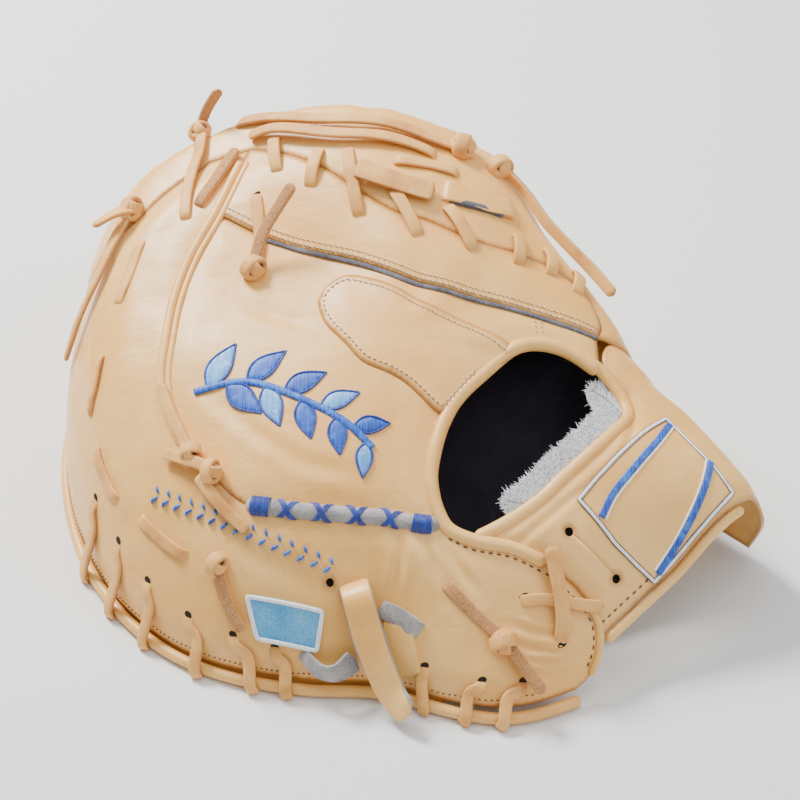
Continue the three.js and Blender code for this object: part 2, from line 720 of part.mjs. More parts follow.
addSolid("finger_pad", fingerPad, LEATHER_COLOR);
addSolid("strap_label", patchLayer.intersect(prism(outline([LABEL.map(plan)]))), LABEL_COLOR);
addSolid("thumb_patch", patchLayer.intersect(prism(outline([PATCH.map(plan)]))), PATCH_COLOR);

// Palm, its lining and the strap's fleece

function palmShell() {
  return bodyUnder(palmTop)
    .subtract(bodyUnder(palmPocket))
    .intersect(insideWrist(WRIST_STEP))
    .intersect(aboveFloor);
}

function palmFarSide() {
  const farWall = smoothLine([[9, 0.9], ...FAR_FOOT.map(at(BEYOND_WALL))]);
  return panel([tipLine, farLine.toReversed(), farWall]);
}

function handLining() {
  return bodyUnder((angle, share) => palmTop(angle, share, GAP + LINING))
    .subtract(bodyUnder((angle, share) => palmTop(angle, share, GAP)))
    .intersect(closedArea(LINING_EDGE))
    .intersect(insideWrist(WRIST_STEP))
    .intersect(aboveFloor);
}

function strapFleece() {
  const top = -LEATHER - GAP;
  return layer(top - FLEECE, top)
    .intersect(closedArea(FLEECE_EDGE))
    .subtract(holeBinding.slot)
    .subtract(strapRoll.slot)
    .intersect(aboveFloor)
    .intersect(insideWrist(STRAP_ROLL));
}

addSolid("palm_shell", palmShell(), LEATHER_COLOR);
addSolid("palm_far_side", palmFarSide(), LEATHER_COLOR);
addSolid("hand_lining", handLining(), LINING_COLOR, SUEDE);
addSolid("strap_fleece", strapFleece(), FLEECE_COLOR, WOOLLY);

// The rolled rim at the foot: close under the thumb panel, and outside the far wall

function rimPoint(angle, beyond, height) {
  const radians = THREE.MathUtils.degToRad(angle);
  const radius = footRadius(angle) + beyond;
  return new THREE.Vector3(radius * Math.cos(radians), radius * Math.sin(radians), height);
}

function rimRoll({ from, to, beyond, steps }) {
  const height = RIM_ROLL / 2 + FOOT_CLEAR;
  const points = Array.from({ length: steps + 1 }, (_, k) => (
    rimPoint(from + ((to - from) * k) / steps, beyond, height)
  ));
  return rollSolid(points, RIM_ROLL);
}

addSolid("rim_roll_near", rimRoll(NEAR_RIM), LEATHER_COLOR);
addSolid("rim_roll_far", rimRoll(FAR_RIM), LEATHER_COLOR);

// Laces

function nearLoop([angle, top, slant]) {
  const beyond = NEAR_RIM.beyond + RIM_ROLL / 2 + SLOT_ROOM / 2 + LACE_THICK / 2;
  return stripSolid([
    skin(angle, top, ON_SKIN),
    skin(angle + slant / 2, (top + LOOP_TURN) / 2, ON_SKIN + LOOP_ARCH / 2),
    rimPoint(angle + slant * 0.9, beyond, RIM_ROLL * 0.85),
    rimPoint(angle + slant, beyond, RIM_ROLL * 0.32),
  ]);
}

function farLoop([from, to]) {
  const middle = skin(...from).add(skin(...to)).multiplyScalar(0.5);
  middle.addScaledVector(outward(middle), ON_SKIN + LOOP_ARCH);
  return stripSolid([skin(...from, ON_SKIN), middle, skin(...to, ON_SKIN)]);
}

NEAR_LOOPS.forEach((row, k) => {
  addSolid(`near_loop_${k + 1}`, nearLoop(row), LACE_COLOR, SUEDE);
});

FAR_LOOPS.forEach((row, k) => {
  addSolid(`far_loop_${k + 1}`, farLoop(row), LACE_COLOR, SUEDE);
});

const onLayer = ([angle, share, height]) => [angle, share, ON_SKIN + height * LAYER];

for (const [name, { width, turn, runs, knots = [] }] of Object.entries(LACES)) {
  const strips = runs.map((run) => stripSolid(route(run.map(onLayer)), width, turn));
  const ties = knots.map(([angle, share, height, size, twist]) => (
    knotSolid(onLayer([angle, share, height]), size * KNOT_SIZE, twist)
  ));
  addSolid(name, fuse([...strips, ...ties]).intersect(aboveFloor), LACE_COLOR, SUEDE);
}

// The part's origin is under the middle of its box
const box = new THREE.Box3().setFromObject(group, true);
group.position.set(-(box.min.x + box.max.x) / 2, -(box.min.y + box.max.y) / 2, -box.min.z);

export default group;
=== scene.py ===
"""The finished look of a first base mitt, built round its fixed frame.

Metres, +Z up, in the frame's own axes. A place on the mitt's back is a spoke angle in
degrees, measured round the crown from +X, and a share of that spoke from the crown out
to its foot. Fine meshes are laid out flat first, as unrolled leather: a flat place is
the spoke angle and the length of arc from the crown.
"""
from __future__ import annotations

import logging
import math
from collections.abc import Callable, Sequence
from dataclasses import dataclass
from enum import Enum

import bpy
import numpy as np
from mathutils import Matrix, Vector, noise
from mathutils.bvhtree import BVHTree
from mathutils.geometry import delaunay_2d_cdt

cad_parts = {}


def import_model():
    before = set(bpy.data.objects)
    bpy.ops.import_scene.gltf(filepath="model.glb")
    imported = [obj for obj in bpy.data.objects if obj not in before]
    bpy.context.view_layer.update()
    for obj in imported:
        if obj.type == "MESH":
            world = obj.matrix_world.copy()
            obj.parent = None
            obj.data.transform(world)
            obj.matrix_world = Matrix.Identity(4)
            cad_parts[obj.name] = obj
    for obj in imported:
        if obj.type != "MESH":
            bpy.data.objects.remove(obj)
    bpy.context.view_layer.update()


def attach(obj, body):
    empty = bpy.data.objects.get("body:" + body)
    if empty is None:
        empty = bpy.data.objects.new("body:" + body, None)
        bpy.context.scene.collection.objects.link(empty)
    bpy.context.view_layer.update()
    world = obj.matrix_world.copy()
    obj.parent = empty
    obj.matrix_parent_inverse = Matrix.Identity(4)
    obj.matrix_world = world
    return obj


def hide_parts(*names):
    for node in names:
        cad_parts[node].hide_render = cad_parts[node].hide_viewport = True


log = logging.getLogger("mitt")
MM = 0.001
Places = Sequence[Sequence[float]]
Values = np.ndarray | float

# Driving sizes of the form, as in the frame
REACH = 150 * MM
CREST_HEIGHT = 147 * MM
CROWN_TILT = 0.34
CROWN_SHARE = 0.72
FOOT_SLOPE = 1.5
CROWN = (-2.495 * MM, -4.79 * MM)

LEATHER = 2.4 * MM
GAP = 0.35 * MM
HAND_SPACE = 33 * MM
PALM_PAD = 11 * MM
PALM_INSET = 14 * MM
FLEECE = 4 * MM
RIM_ROLL = 5.4 * MM
HOLE_ROLL = 6.4 * MM
PIPING = 2.6 * MM
BAR_ROLL = 7.4 * MM
STRAP_ROLL = 4.2 * MM
LACE_WIDTH = 5.4 * MM
LACE_THICK = 2.2 * MM
STRAP_WIDTH = 13 * MM
KNOT_SIZE = 10.5 * MM
EYELET = 4 * MM
WRIST_STEP = 34 * MM
ON_SKIN = GAP + LACE_THICK / 2
LAYER = LACE_THICK + GAP
WRIST_ANGLE = -50.6
WRIST_DISTANCE = 0.947 * REACH

# Finer sizes of the finished pieces
FAR_FROM_EDGE = 5 * MM
PUNCHED = EYELET / 2 + 0.4 * MM
SUNK = 1.1 * MM
PANEL_ROW = 0.866
HOLE_SIDES = 20
LACE_CORNER = 0.32
STRAP_CORNER = 0.2
LACE_CROWN = (0.22, 0.06)
LOWEST_PALM = -60 * MM
OPEN_ANGLE = 335
OPEN_HALF = (22, 48)
OPEN_SHARES = (0.35, 0.9)
PROBE_START = 9 * MM
PROBE_PAST = 3 * MM
LOOP_STEP = 0.9 * MM
LOOP_WAVE = 9 * MM
ON_LABEL = 2.5 * MM
STITCH_RISE = (-0.7, 0.05, 0.3, 0.05, -0.7)
STITCH_SIZE = (0.5, 0.95, 1.05, 0.95, 0.5)
STITCH_JITTER = 0.12 * MM

# Turns of lace in a knot, as lean, radius, shift, swing and width
KNOT_WRAPS = ((1.38, 0.42, 0.0, 0.1, 0.52), (1.2, 0.34, 0.1, 1.35, 0.48), (0.3, 0.4, -0.12, 0.6, 0.34))


@dataclass(frozen=True)
class Spoke:
    """One spoke of the form: its foot as a share of REACH, heights as shares of CREST_HEIGHT."""

    angle: float
    foot: float
    inner: float
    middle: float
    shoulder: float
    brow: float


STATIONS = (0.0, 0.35, 0.65, 0.85, 0.95, 1.0)
SPOKES = (
    Spoke(0, 0.87, 0.7, 0.635, 0.55, 0.38),
    Spoke(20, 0.755, 0.745, 0.715, 0.66, 0.475),
    Spoke(45, 0.735, 0.8, 0.81, 0.76, 0.55),
    Spoke(67, 0.88, 0.845, 0.905, 0.875, 0.61),
    Spoke(90, 0.9, 0.86, 0.96, 0.985, 0.69),
    Spoke(110, 1.02, 0.84, 0.945, 0.965, 0.68),
    Spoke(137, 1.23, 0.77, 0.82, 0.79, 0.62),
    Spoke(160, 1.12, 0.715, 0.7, 0.625, 0.435),
    Spoke(180, 1.03, 0.685, 0.625, 0.515, 0.34),
    Spoke(200, 0.975, 0.655, 0.545, 0.38, 0.22),
    Spoke(225, 0.92, 0.62, 0.485, 0.285, 0.135),
    Spoke(250, 0.83, 0.605, 0.45, 0.26, 0.12),
    Spoke(268, 0.8, 0.59, 0.43, 0.24, 0.11),
    Spoke(290, 0.95, 0.565, 0.375, 0.19, 0.09),
    Spoke(308, 1.0, 0.565, 0.4, 0.21, 0.1),
    Spoke(326, 1.167, 0.58, 0.42, 0.218, 0.095),
    Spoke(341, 1.32, 0.6, 0.49, 0.333, 0.136),
    Spoke(352, 1.03, 0.655, 0.56, 0.49, 0.3),
)

# Seam lines over the back, as [spoke angle, share]
CREASE_TOP = [[123, 0.743], [129, 0.67], [139, 0.601]]
CREASE = [[139, 0.601], [152, 0.614], [163, 0.637], [174, 0.659], [186, 0.694], [198, 0.697], [210, 0.69]]
BAR_LINE = [[226, 0.687], [238, 0.651], [252, 0.631], [266, 0.627], [280.5, 0.592]]
BAR_END = [284, 0.575]
MID_SEAM = [[139, 0.601], [136, 0.444], [118, 0.279], [78, 0.2], [41, 0.288], [17, 0.506], [8, 0.753]]
FAR_EDGE = [
    [8, 0.753], [13, 0.808], [24, 0.823], [32, 0.765], [40, 0.66], [55, 0.482], [74, 0.416],
    [90, 0.43], [102, 0.481], [111, 0.575], [118, 0.675], [123, 0.743],
]
HOLE_UPPER = [
    [284, 0.54], [284, 0.457], [292, 0.334], [309, 0.254], [336, 0.204], [355, 0.339], [1, 0.476],
    [1, 0.573], [357, 0.662],
]
BINDING_HEEL = [[286, 0.585], [292, 0.612], [301, 0.66], [307, 0.724]]
STRAP_TOP = [[353, 0.685], [345, 0.565], [337, 0.505], [325, 0.53], [314, 0.572], [302, 0.6], [293, 0.608]]
HEEL_START = [290, 0.6]
HEEL_EDGE = [
    [301, 0.662], [307, 0.726], [311, 0.82], [311, 0.877], [309, 0.929], [306, 0.968], [302, 1.01],
]
TIP_EDGE = [[155, 1.04], [153, 0.93], [150, 0.86], [145, 0.8], [138, 0.765], [130, 0.765]]
PAD = [
    [151, 0.23], [140, 0.229], [126, 0.228], [108, 0.19], [86, 0.162], [50, 0.17], [23, 0.231],
    [358, 0.38], [355, 0.36], [336, 0.205], [309, 0.254], [300, 0.262], [274, 0.162], [220, 0.14],
    [188, 0.154], [165, 0.202],
]
STRAP_ANGLES = (311, 317, 323, 329, 335, 338, 340.5)


class Form:
    """The domed form of the mitt, kept as fine tables over every degree and step of arc."""

    RINGS = 220

    def __init__(self, crown: tuple[float, float]) -> None:
        """Works the tables out.

        Args:
            crown: The crown's place in the frame, in metres.
        """
        self.crown = np.array([crown[0], crown[1], 0.0])
        fine = 1 - (1 - np.linspace(0, 1, 700)) ** 1.7
        points = np.stack([self._spoke(float(angle), fine) for angle in range(360)])
        steps = np.linalg.norm(np.diff(points, axis=1), axis=2)
        arcs = np.concatenate([np.zeros((360, 1)), np.cumsum(steps, axis=1)], axis=1)
        self.length = arcs[:, -1]
        self.place = np.empty((360, self.RINGS, 3))
        self.share = np.empty((360, self.RINGS))
        for angle in range(360):
            even = np.linspace(0, self.length[angle], self.RINGS)
            self.share[angle] = np.interp(even, arcs[angle], fine)
            for axis in range(3):
                self.place[angle, :, axis] = np.interp(even, arcs[angle], points[angle, :, axis])
        self.normal = self._normals()

    @staticmethod
    def around(column: str, angle: float) -> float:
        """A column of the spoke table at any angle, smooth all the way round.

        Args:
            column: Name of the column.
            angle: Spoke angle in degrees.

        Returns:
            The column's value there.
        """
        turn = angle % 360
        count = len(SPOKES)
        row = max(k for k, spoke in enumerate(SPOKES) if spoke.angle <= turn)

        def angle_of(k: int) -> float:
            """Angle of row k, counted past the ends."""
            return SPOKES[k % count].angle + 360 * (k // count)

        def value_of(k: int) -> float:
            """Value of row k, counted past the ends."""
            return getattr(SPOKES[k % count], column)

        def slope_of(k: int) -> float:
            """Slope at row k."""
            return (value_of(k + 1) - value_of(k - 1)) / (angle_of(k + 1) - angle_of(k - 1))

        span = angle_of(row + 1) - angle_of(row)
        t = (turn - angle_of(row)) / span
        return hermite(t, span, (value_of(row), value_of(row + 1)), (slope_of(row), slope_of(row + 1)))

    def foot(self, angle: float) -> float:
        """Radius of the foot at a spoke angle."""
        return REACH * self.around("foot", angle)

    def feet(self, angles: Sequence[float] | np.ndarray) -> np.ndarray:
        """Radii of the foot at many spoke angles."""
        return np.array([self.foot(float(angle)) for angle in angles])

    def beyond(self, angles: Sequence[float] | np.ndarray, out: object, height: object) -> np.ndarray:
        """Points just outside the foot.

        Args:
            angles: Spoke angles in degrees.
            out: How far outside, one for all or one for each.
            height: Height over the floor, one for all or one for each.

        Returns:
            The points in the frame.
        """
        turn = np.radians(angles)
        radii = self.feet(angles) + out
        rows = [radii * np.cos(turn), radii * np.sin(turn), np.broadcast_to(height, turn.shape)]
        return np.stack(rows, axis=1) + self.crown

    def _spoke(self, angle: float, shares: np.ndarray) -> np.ndarray:
        """Points along one spoke.

        Args:
            angle: Spoke angle in degrees.
            shares: Shares along the spoke.

        Returns:
            One point for each share, from the crown at the origin.
        """
        radians = math.radians(angle)
        foot = self.foot(angle)
        columns = ("inner", "middle", "shoulder", "brow")
        inner = [CREST_HEIGHT * self.around(column, angle) for column in columns]
        heights = np.array([CREST_HEIGHT * CROWN_SHARE, *inner, 0.0])
        rises = np.diff(heights) / np.diff(STATIONS)
        slopes = [foot * CROWN_TILT * math.sin(radians)]
        for before, after in zip(rises, rises[1:]):
            slopes.append(2 * before * after / (before + after) if before * after > 0 else 0.0)
        slopes = np.array([*slopes, FOOT_SLOPE * rises[-1]])
        row = np.clip(np.searchsorted(STATIONS, shares, side="right") - 1, 0, len(rises) - 1)
        start = np.array(STATIONS)[row]
        span = np.array(STATIONS)[row + 1] - start
        ends = (heights[row], heights[row + 1])
        z = hermite((shares - start) / span, span, ends, (slopes[row], slopes[row + 1]))
        return np.stack([shares * foot * math.cos(radians), shares * foot * math.sin(radians), z], axis=1)

    def level(self, angle: float, height: float) -> float:
        """The share at which a spoke comes down to a height near its foot.

        Args:
            angle: Spoke angle in degrees.
            height: Height over the floor.

        Returns:
            The share.
        """
        turn = angle % 360
        outer = int(0.6 * self.RINGS)
        ends = []
        for row in (int(turn), (int(turn) + 1) % 360):
            ends.append(np.interp(-height, -self.place[row, outer:, 2], self.share[row, outer:]))
        part = turn - int(turn)
        return float(ends[0] * (1 - part) + ends[1] * part)

    def wrist(self, angle: float, back: float) -> float:
        """The share at which a spoke meets the wrist's cut, drawn back by a margin."""
        lean = math.radians(angle - WRIST_ANGLE)
        return (WRIST_DISTANCE - back) / (math.cos(lean) * self.foot(angle))

    def palm_top(self, flat: np.ndarray, lift: Values = 0.0) -> tuple[np.ndarray, np.ndarray]:
        """Points on the palm's upper face, under the hand's space.

        Args:
            flat: Flat places.
            lift: Height along the normal.

        Returns:
            The points and the normals.
        """
        points, normals = self.on(flat, lift - LEATHER - GAP)
        turn = turned(flat)
        total = self.length[np.floor(turn).astype(int) % 360]
        ring = np.hypot(flat[:, 0], flat[:, 1]) / total * (self.RINGS - 1)
        share = self._read(self.share[..., None], turn, ring)[:, 0]
        aside = np.abs((turn - OPEN_ANGLE + 180) % 360 - 180)
        opening = np.maximum(1 - smooth(share, *OPEN_SHARES), 1 - smooth(aside, *OPEN_HALF))
        points[:, 2] -= HAND_SPACE * opening
        return points, normals

    def _normals(self) -> np.ndarray:
        """Outward normals for the whole table."""
        along = np.roll(self.place, -1, axis=0) - np.roll(self.place, 1, axis=0)
        normal = np.cross(np.gradient(self.place, axis=1), along)
        normal[:, :4] = normal[:, 4].mean(axis=0)
        return unit(normal)

    def flat(self, places: Places | np.ndarray) -> np.ndarray:
        """Flat places of [spoke angle, share] rows.

        Args:
            places: Rows that start with a spoke angle and a share.

        Returns:
            The flat place of each row, in metres.
        """
        rows = np.asarray([row[:2] for row in places], float)
        turn = rows[:, 0] % 360
        low = np.floor(turn).astype(int) % 360
        part = turn - np.floor(turn)
        even = np.linspace(0, 1, self.RINGS)
        arc = np.empty(len(rows))
        for k, share in enumerate(rows[:, 1]):
            ends = []
            for angle in (low[k], (low[k] + 1) % 360):
                inside = np.interp(min(share, 1.0), self.share[angle], even) * self.length[angle]
                ends.append(inside + max(share - 1.0, 0.0) * self.foot(float(angle)))
            arc[k] = ends[0] * (1 - part[k]) + ends[1] * part[k]
        radians = np.radians(turn)
        return np.stack([arc * np.cos(radians), arc * np.sin(radians)], axis=1)

    def _read(self, table: np.ndarray, turn: np.ndarray, ring: np.ndarray) -> np.ndarray:
        """Reads a table between its rows and columns.

        Args:
            table: One of the form's tables.
            turn: Spoke angles in degrees.
            ring: Places along the spoke, in steps of the table.

        Returns:
            The table's value at each place.
        """
        low = np.floor(turn).astype(int) % 360
        high = (low + 1) % 360
        u = (turn - np.floor(turn))[:, None]
        inner = np.clip(np.floor(ring).astype(int), 0, self.RINGS - 2)
        v = np.clip(ring - inner, 0, 1)[:, None]
        near = table[low, inner] * (1 - v) + table[low, inner + 1] * v
        far = table[high, inner] * (1 - v) + table[high, inner + 1] * v
        return near * (1 - u) + far * u

    def on(self, flat: np.ndarray, lift: Values = 0.0) -> tuple[np.ndarray, np.ndarray]:
        """Points on or over the form.

        Args:
            flat: Flat places.
            lift: Height along the normal, one for all or one for each place.

        Returns:
            The points in the frame, and the form's normals there.
        """
        arc = np.hypot(flat[:, 0], flat[:, 1])
        turn = turned(flat)
        low = np.floor(turn).astype(int) % 360
        part = turn - np.floor(turn)
        total = self.length[low] * (1 - part) + self.length[(low + 1) % 360] * part
        ring = arc / total * (self.RINGS - 1)
        points = self._read(self.place, turn, ring)
        normals = unit(self._read(self.normal, turn, ring))
        points[:, 2] -= np.clip(arc - total, 0, None)
        height = np.broadcast_to(np.asarray(lift, float), (len(flat),))[:, None]
        return points + normals * height + self.crown, normals

    def skin(self, places: Places) -> tuple[np.ndarray, np.ndarray]:
        """Points and normals of [spoke angle, share, lift] rows, lift in metres."""
        lifts = np.array([row[2] if len(row) > 2 else 0.0 for row in places])
        return self.on(self.flat(places), lifts)

    def _below(self, plan: np.ndarray, most: float = math.inf) -> np.ndarray:
        """Flat places under points seen from above.

        Args:
            plan: Points from the crown, across and along.
            most: Largest share of a spoke.

        Returns:
            The flat places.
        """
        turn = turned(plan)
        share = np.minimum(np.hypot(plan[:, 0], plan[:, 1]) / self.feet(turn), most)
        return self.flat(np.stack([turn, share], axis=1))

    def outward(self, points: np.ndarray) -> np.ndarray:
        """Normals of the form beside points near it."""
        return self.on(self._below(points - self.crown, 1.0))[1]

    def seam(self, places: Places, step: float = 1.5 * MM) -> np.ndarray:
        """A smooth seam line, as flat places an even step apart.

        Args:
            places: Rows of [spoke angle, share].
            step: Length of one step.

        Returns:
            Flat places along the line.
        """
        plan = []
        for angle, share in places:
            radius = share * self.foot(angle)
            plan.append([radius * math.cos(math.radians(angle)), radius * math.sin(math.radians(angle))])
        return even_steps(self._below(catmull(np.array(plan), 14)), step)


def unit(rows: np.ndarray) -> np.ndarray:
    """Rows of a table, each at length 1."""
    return rows / np.maximum(np.linalg.norm(rows, axis=-1, keepdims=True), 1e-12)


def turned(flat: np.ndarray) -> np.ndarray:
    """Angle of each flat place, in degrees from 0 to 360."""
    return np.degrees(np.arctan2(flat[:, 1], flat[:, 0])) % 360


def spun(turn: float) -> np.ndarray:
    """The matrix of a turn about Z."""
    return np.array([[math.cos(turn), -math.sin(turn), 0], [math.sin(turn), math.cos(turn), 0], [0, 0, 1]])


def along(points: np.ndarray) -> np.ndarray:
    """Length along a line at each of its points."""
    return np.concatenate([[0], np.cumsum(np.linalg.norm(np.diff(points, axis=0), axis=1))])


def at(marks: np.ndarray | float, lengths: np.ndarray, table: np.ndarray) -> np.ndarray:
    """Rows of a table read at marks along a line, from the line's length at each row."""
    return np.stack([np.interp(marks, lengths, table[:, axis]) for axis in range(table.shape[1])], axis=-1)


def headings(line: np.ndarray, is_closed: bool = False) -> np.ndarray:
    """Direction of a line at each of its points."""
    if is_closed:
        return unit(np.roll(line, -1, axis=0) - np.roll(line, 1, axis=0))
    return unit(np.gradient(line, axis=0))


def beside(line: np.ndarray, aside: float, is_closed: bool = False) -> np.ndarray:
    """A flat line moved to its left."""
    way = headings(line, is_closed)
    return line + np.stack([-way[:, 1], way[:, 0]], axis=1) * aside


def hermite(t: Values, span: Values, ends: Sequence[Values], slopes: Sequence[Values]) -> Values:
    """A cubic between two values with slopes of their own, at a place t from 0 to 1 of the span."""
    return (
        (2 * t**3 - 3 * t**2 + 1) * ends[0] + (t**3 - 2 * t**2 + t) * span * slopes[0]
        + (3 * t**2 - 2 * t**3) * ends[1] + (t**3 - t**2) * span * slopes[1]
    )


def catmull(points: np.ndarray, pieces: int) -> np.ndarray:
    """A centripetal Catmull-Rom curve through points.

    Args:
        points: The points, in any number of dimensions.
        pieces: Pieces for each stretch between two points.

    Returns:
        Points along the curve.
    """
    ends = np.concatenate([[2 * points[0] - points[1]], points, [2 * points[-1] - points[-2]]])
    result = []
    for k in range(1, len(ends) - 2):
        p0, p1, p2, p3 = ends[k - 1:k + 3]
        pairs = ((p0, p1), (p1, p2), (p2, p3))
        d0, d1, d2 = (max(math.sqrt(np.linalg.norm(b - a)), 1e-6) for a, b in pairs)
        t1 = ((p1 - p0) / d0 - (p2 - p0) / (d0 + d1) + (p2 - p1) / d1) * d1
        t2 = ((p2 - p1) / d1 - (p3 - p1) / (d1 + d2) + (p3 - p2) / d2) * d1
        for t in np.arange(pieces) / pieces:
            cubic = (2 * p1 - 2 * p2 + t1 + t2) * t**3 + (3 * p2 - 3 * p1 - 2 * t1 - t2) * t**2
            result.append(cubic + t1 * t + p1)
    result.append(points[-1])
    return np.array(result)


def even_steps(points: np.ndarray, step: float) -> np.ndarray:
    """A line of points, set again an even step apart.

    Args:
        points: Points along the line.
        step: Length of one step.

    Returns:
        The new points, with the first and last kept.
    """
    lengths = along(points)
    count = max(2, int(round(lengths[-1] / step)) + 1)
    return at(np.linspace(0, lengths[-1], count), lengths, points)


def closed(lines: Sequence[np.ndarray], step: float = 1.5 * MM) -> np.ndarray:
    """One closed outline, wound anticlockwise, from seam lines end to end.

    Args:
        lines: Flat lines, each starting near where the one before it ends.
        step: Length of one step.

    Returns:
        The outline's points, without the first one again at the end.
    """
    joined = np.concatenate(lines)
    ring = even_steps(np.concatenate([joined, joined[:1]]), step)[:-1]
    following = np.roll(ring, -1, axis=0)
    area = np.sum(ring[:, 0] * following[:, 1] - following[:, 0] * ring[:, 1])
    return ring if area > 0 else ring[::-1]


def eased(ring: np.ndarray, times: int) -> np.ndarray:
    """A closed outline with its corners rounded, more so the more times."""
    for _ in range(times):
        ring = (np.roll(ring, -1, axis=0) + 2 * ring + np.roll(ring, 1, axis=0)) / 4
    return ring


def distance(points: np.ndarray, line: np.ndarray, is_closed: bool = False) -> np.ndarray:
    """How far each point lies from a line.

    Args:
        points: Flat places.
        line: Flat places along the line.
        is_closed: Whether the line's end meets its start.

    Returns:
        One distance for each point.
    """
    ends = np.roll(line, -1, axis=0) if is_closed else line[1:]
    starts = line if is_closed else line[:-1]
    way = ends - starts
    size = np.maximum(np.sum(way * way, axis=1), 1e-12)
    result = np.empty(len(points))
    for k in range(0, len(points), 2000):
        apart = points[k:k + 2000, None, :] - starts[None]
        part = np.clip(np.sum(apart * way[None], axis=2) / size, 0, 1)
        rest = apart - part[..., None] * way[None]
        result[k:k + 2000] = np.sqrt(np.min(np.sum(rest * rest, axis=2), axis=1))
    return result


def inside(points: np.ndarray, ring: np.ndarray) -> np.ndarray:
    """Which points lie inside a closed outline.

    Args:
        points: Flat places.
        ring: The outline.

    Returns:
        True for each point inside.
    """
    following = np.roll(ring, -1, axis=0)
    result = np.zeros(len(points), bool)
    for (x0, y0), (x1, y1) in zip(ring, following):
        if y0 == y1:
            continue
        crosses = (y0 > points[:, 1]) != (y1 > points[:, 1])
        result ^= crosses & (points[:, 0] < (x1 - x0) * (points[:, 1] - y0) / (y1 - y0) + x0)
    return result


def smooth(value: np.ndarray | float, low: float, high: float) -> np.ndarray:
    """A smooth step from 0 at low to 1 at high."""
    t = np.clip((np.asarray(value, float) - low) / (high - low), 0, 1)
    return t * t * (3 - 2 * t)


def ripple(points: np.ndarray, scale: float, seed: float = 0.0) -> np.ndarray:
    """Smooth noise from -1 to 1 at points, with features as long as scale."""
    shift = Vector((seed, 1.7 * seed, 0.6 * seed))
    return np.array([noise.noise(Vector(point) / scale + shift) for point in points])


def new_mesh(name: str, verts: np.ndarray, faces: Sequence[Sequence[int]]) -> bpy.types.Object:
    """An object with a smooth-shaded mesh of its own, in the scene.

    Args:
        name: The piece's name.
        verts: Its points.
        faces: Its faces.

    Returns:
        The object.
    """
    mesh = bpy.data.meshes.new(name)
    mesh.from_pydata([tuple(v) for v in verts], [], [tuple(int(i) for i in f) for f in faces])
    mesh.polygons.foreach_set("use_smooth", [True] * len(mesh.polygons))
    mesh.update()
    piece = bpy.data.objects.new(name, mesh)
    bpy.context.scene.collection.objects.link(piece)
    return piece


def set_attribute(piece: bpy.types.Object, name: str, values: np.ndarray) -> None:
    """Writes one number for each point of a piece's mesh."""
    attribute = piece.data.attributes.new(name, "FLOAT", "POINT")
    attribute.data.foreach_set("value", np.asarray(values, np.float32))


def select_only(piece: bpy.types.Object) -> None:
    """Makes a piece the one selected and active object."""
    bpy.ops.object.select_all(action="DESELECT")
    piece.select_set(True)
    bpy.context.view_layer.objects.active = piece


def apply_modifier(piece: bpy.types.Object, kind: str, **settings: object) -> None:
    """Adds a modifier to a piece and applies it.

    Args:
        piece: The piece.
        kind: The modifier's type.
        settings: Its settings.
    """
    select_only(piece)
    modifier = piece.modifiers.new(kind.title(), kind)
    for key, value in settings.items():
        setattr(modifier, key, value)
    bpy.ops.object.modifier_apply(modifier=modifier.name)


class Section(Enum):
    """The shapes that are swept along a route: corners as shares of width and thickness."""

    ROUND = "round"
    LACE = "lace"
    STRAP = "strap"

    def corners(self, width: float, thick: float) -> np.ndarray:
        """The section's corners, anticlockwise.

        Args:
            width: Full width.
            thick: Full thickness.

        Returns:
            Corners across and up.
        """
        if self is Section.ROUND:
            turns = np.arange(16) * 2 * math.pi / 16
            return np.stack([np.cos(turns) * width / 2, np.sin(turns) * thick / 2], axis=1)
        radius = thick * (LACE_CORNER if self is Section.LACE else STRAP_CORNER)
        corners = []
        for middle_x, middle_y, start in ((1, -1, -90), (1, 1, 0), (-1, 1, 90), (-1, -1, 180)):
            for turn in (0, 30, 60, 90):
                radians = math.radians(start + turn)
                corners.append([
                    middle_x * (width / 2 - radius) + radius * math.cos(radians),
                    middle_y * (thick / 2 - radius) + radius * math.sin(radians),
                ])
        half, rise = LACE_CROWN
        crown = [[x, thick / 2 + rise * thick] for x in (half * width, -half * width)]
        return np.array(corners[:8] + crown + corners[8:])


def tube_faces(
    rings: int, sides: int, start: int = 0, is_closed: bool = False, has_caps: bool = True,
) -> list[list[int]]:
    """Faces of a tube whose points are listed ring by ring.

    Args:
        rings: Number of rings.
        sides: Points in each ring.
        start: Number of the first point.
        is_closed: Whether the last ring meets the first.
        has_caps: Whether open ends are closed with a face.

    Returns:
        The faces.
    """
    faces = []
    for k in range(rings if is_closed else rings - 1):
        here = start + k * sides
        there = start + (k + 1) % rings * sides
        for j in range(sides):
            following = (j + 1) % sides
            faces.append([here + j, here + following, there + following, there + j])
    if has_caps and not is_closed:
        faces.append([start + j for j in range(sides)][::-1])
        faces.append([start + (rings - 1) * sides + j for j in range(sides)])
    return faces


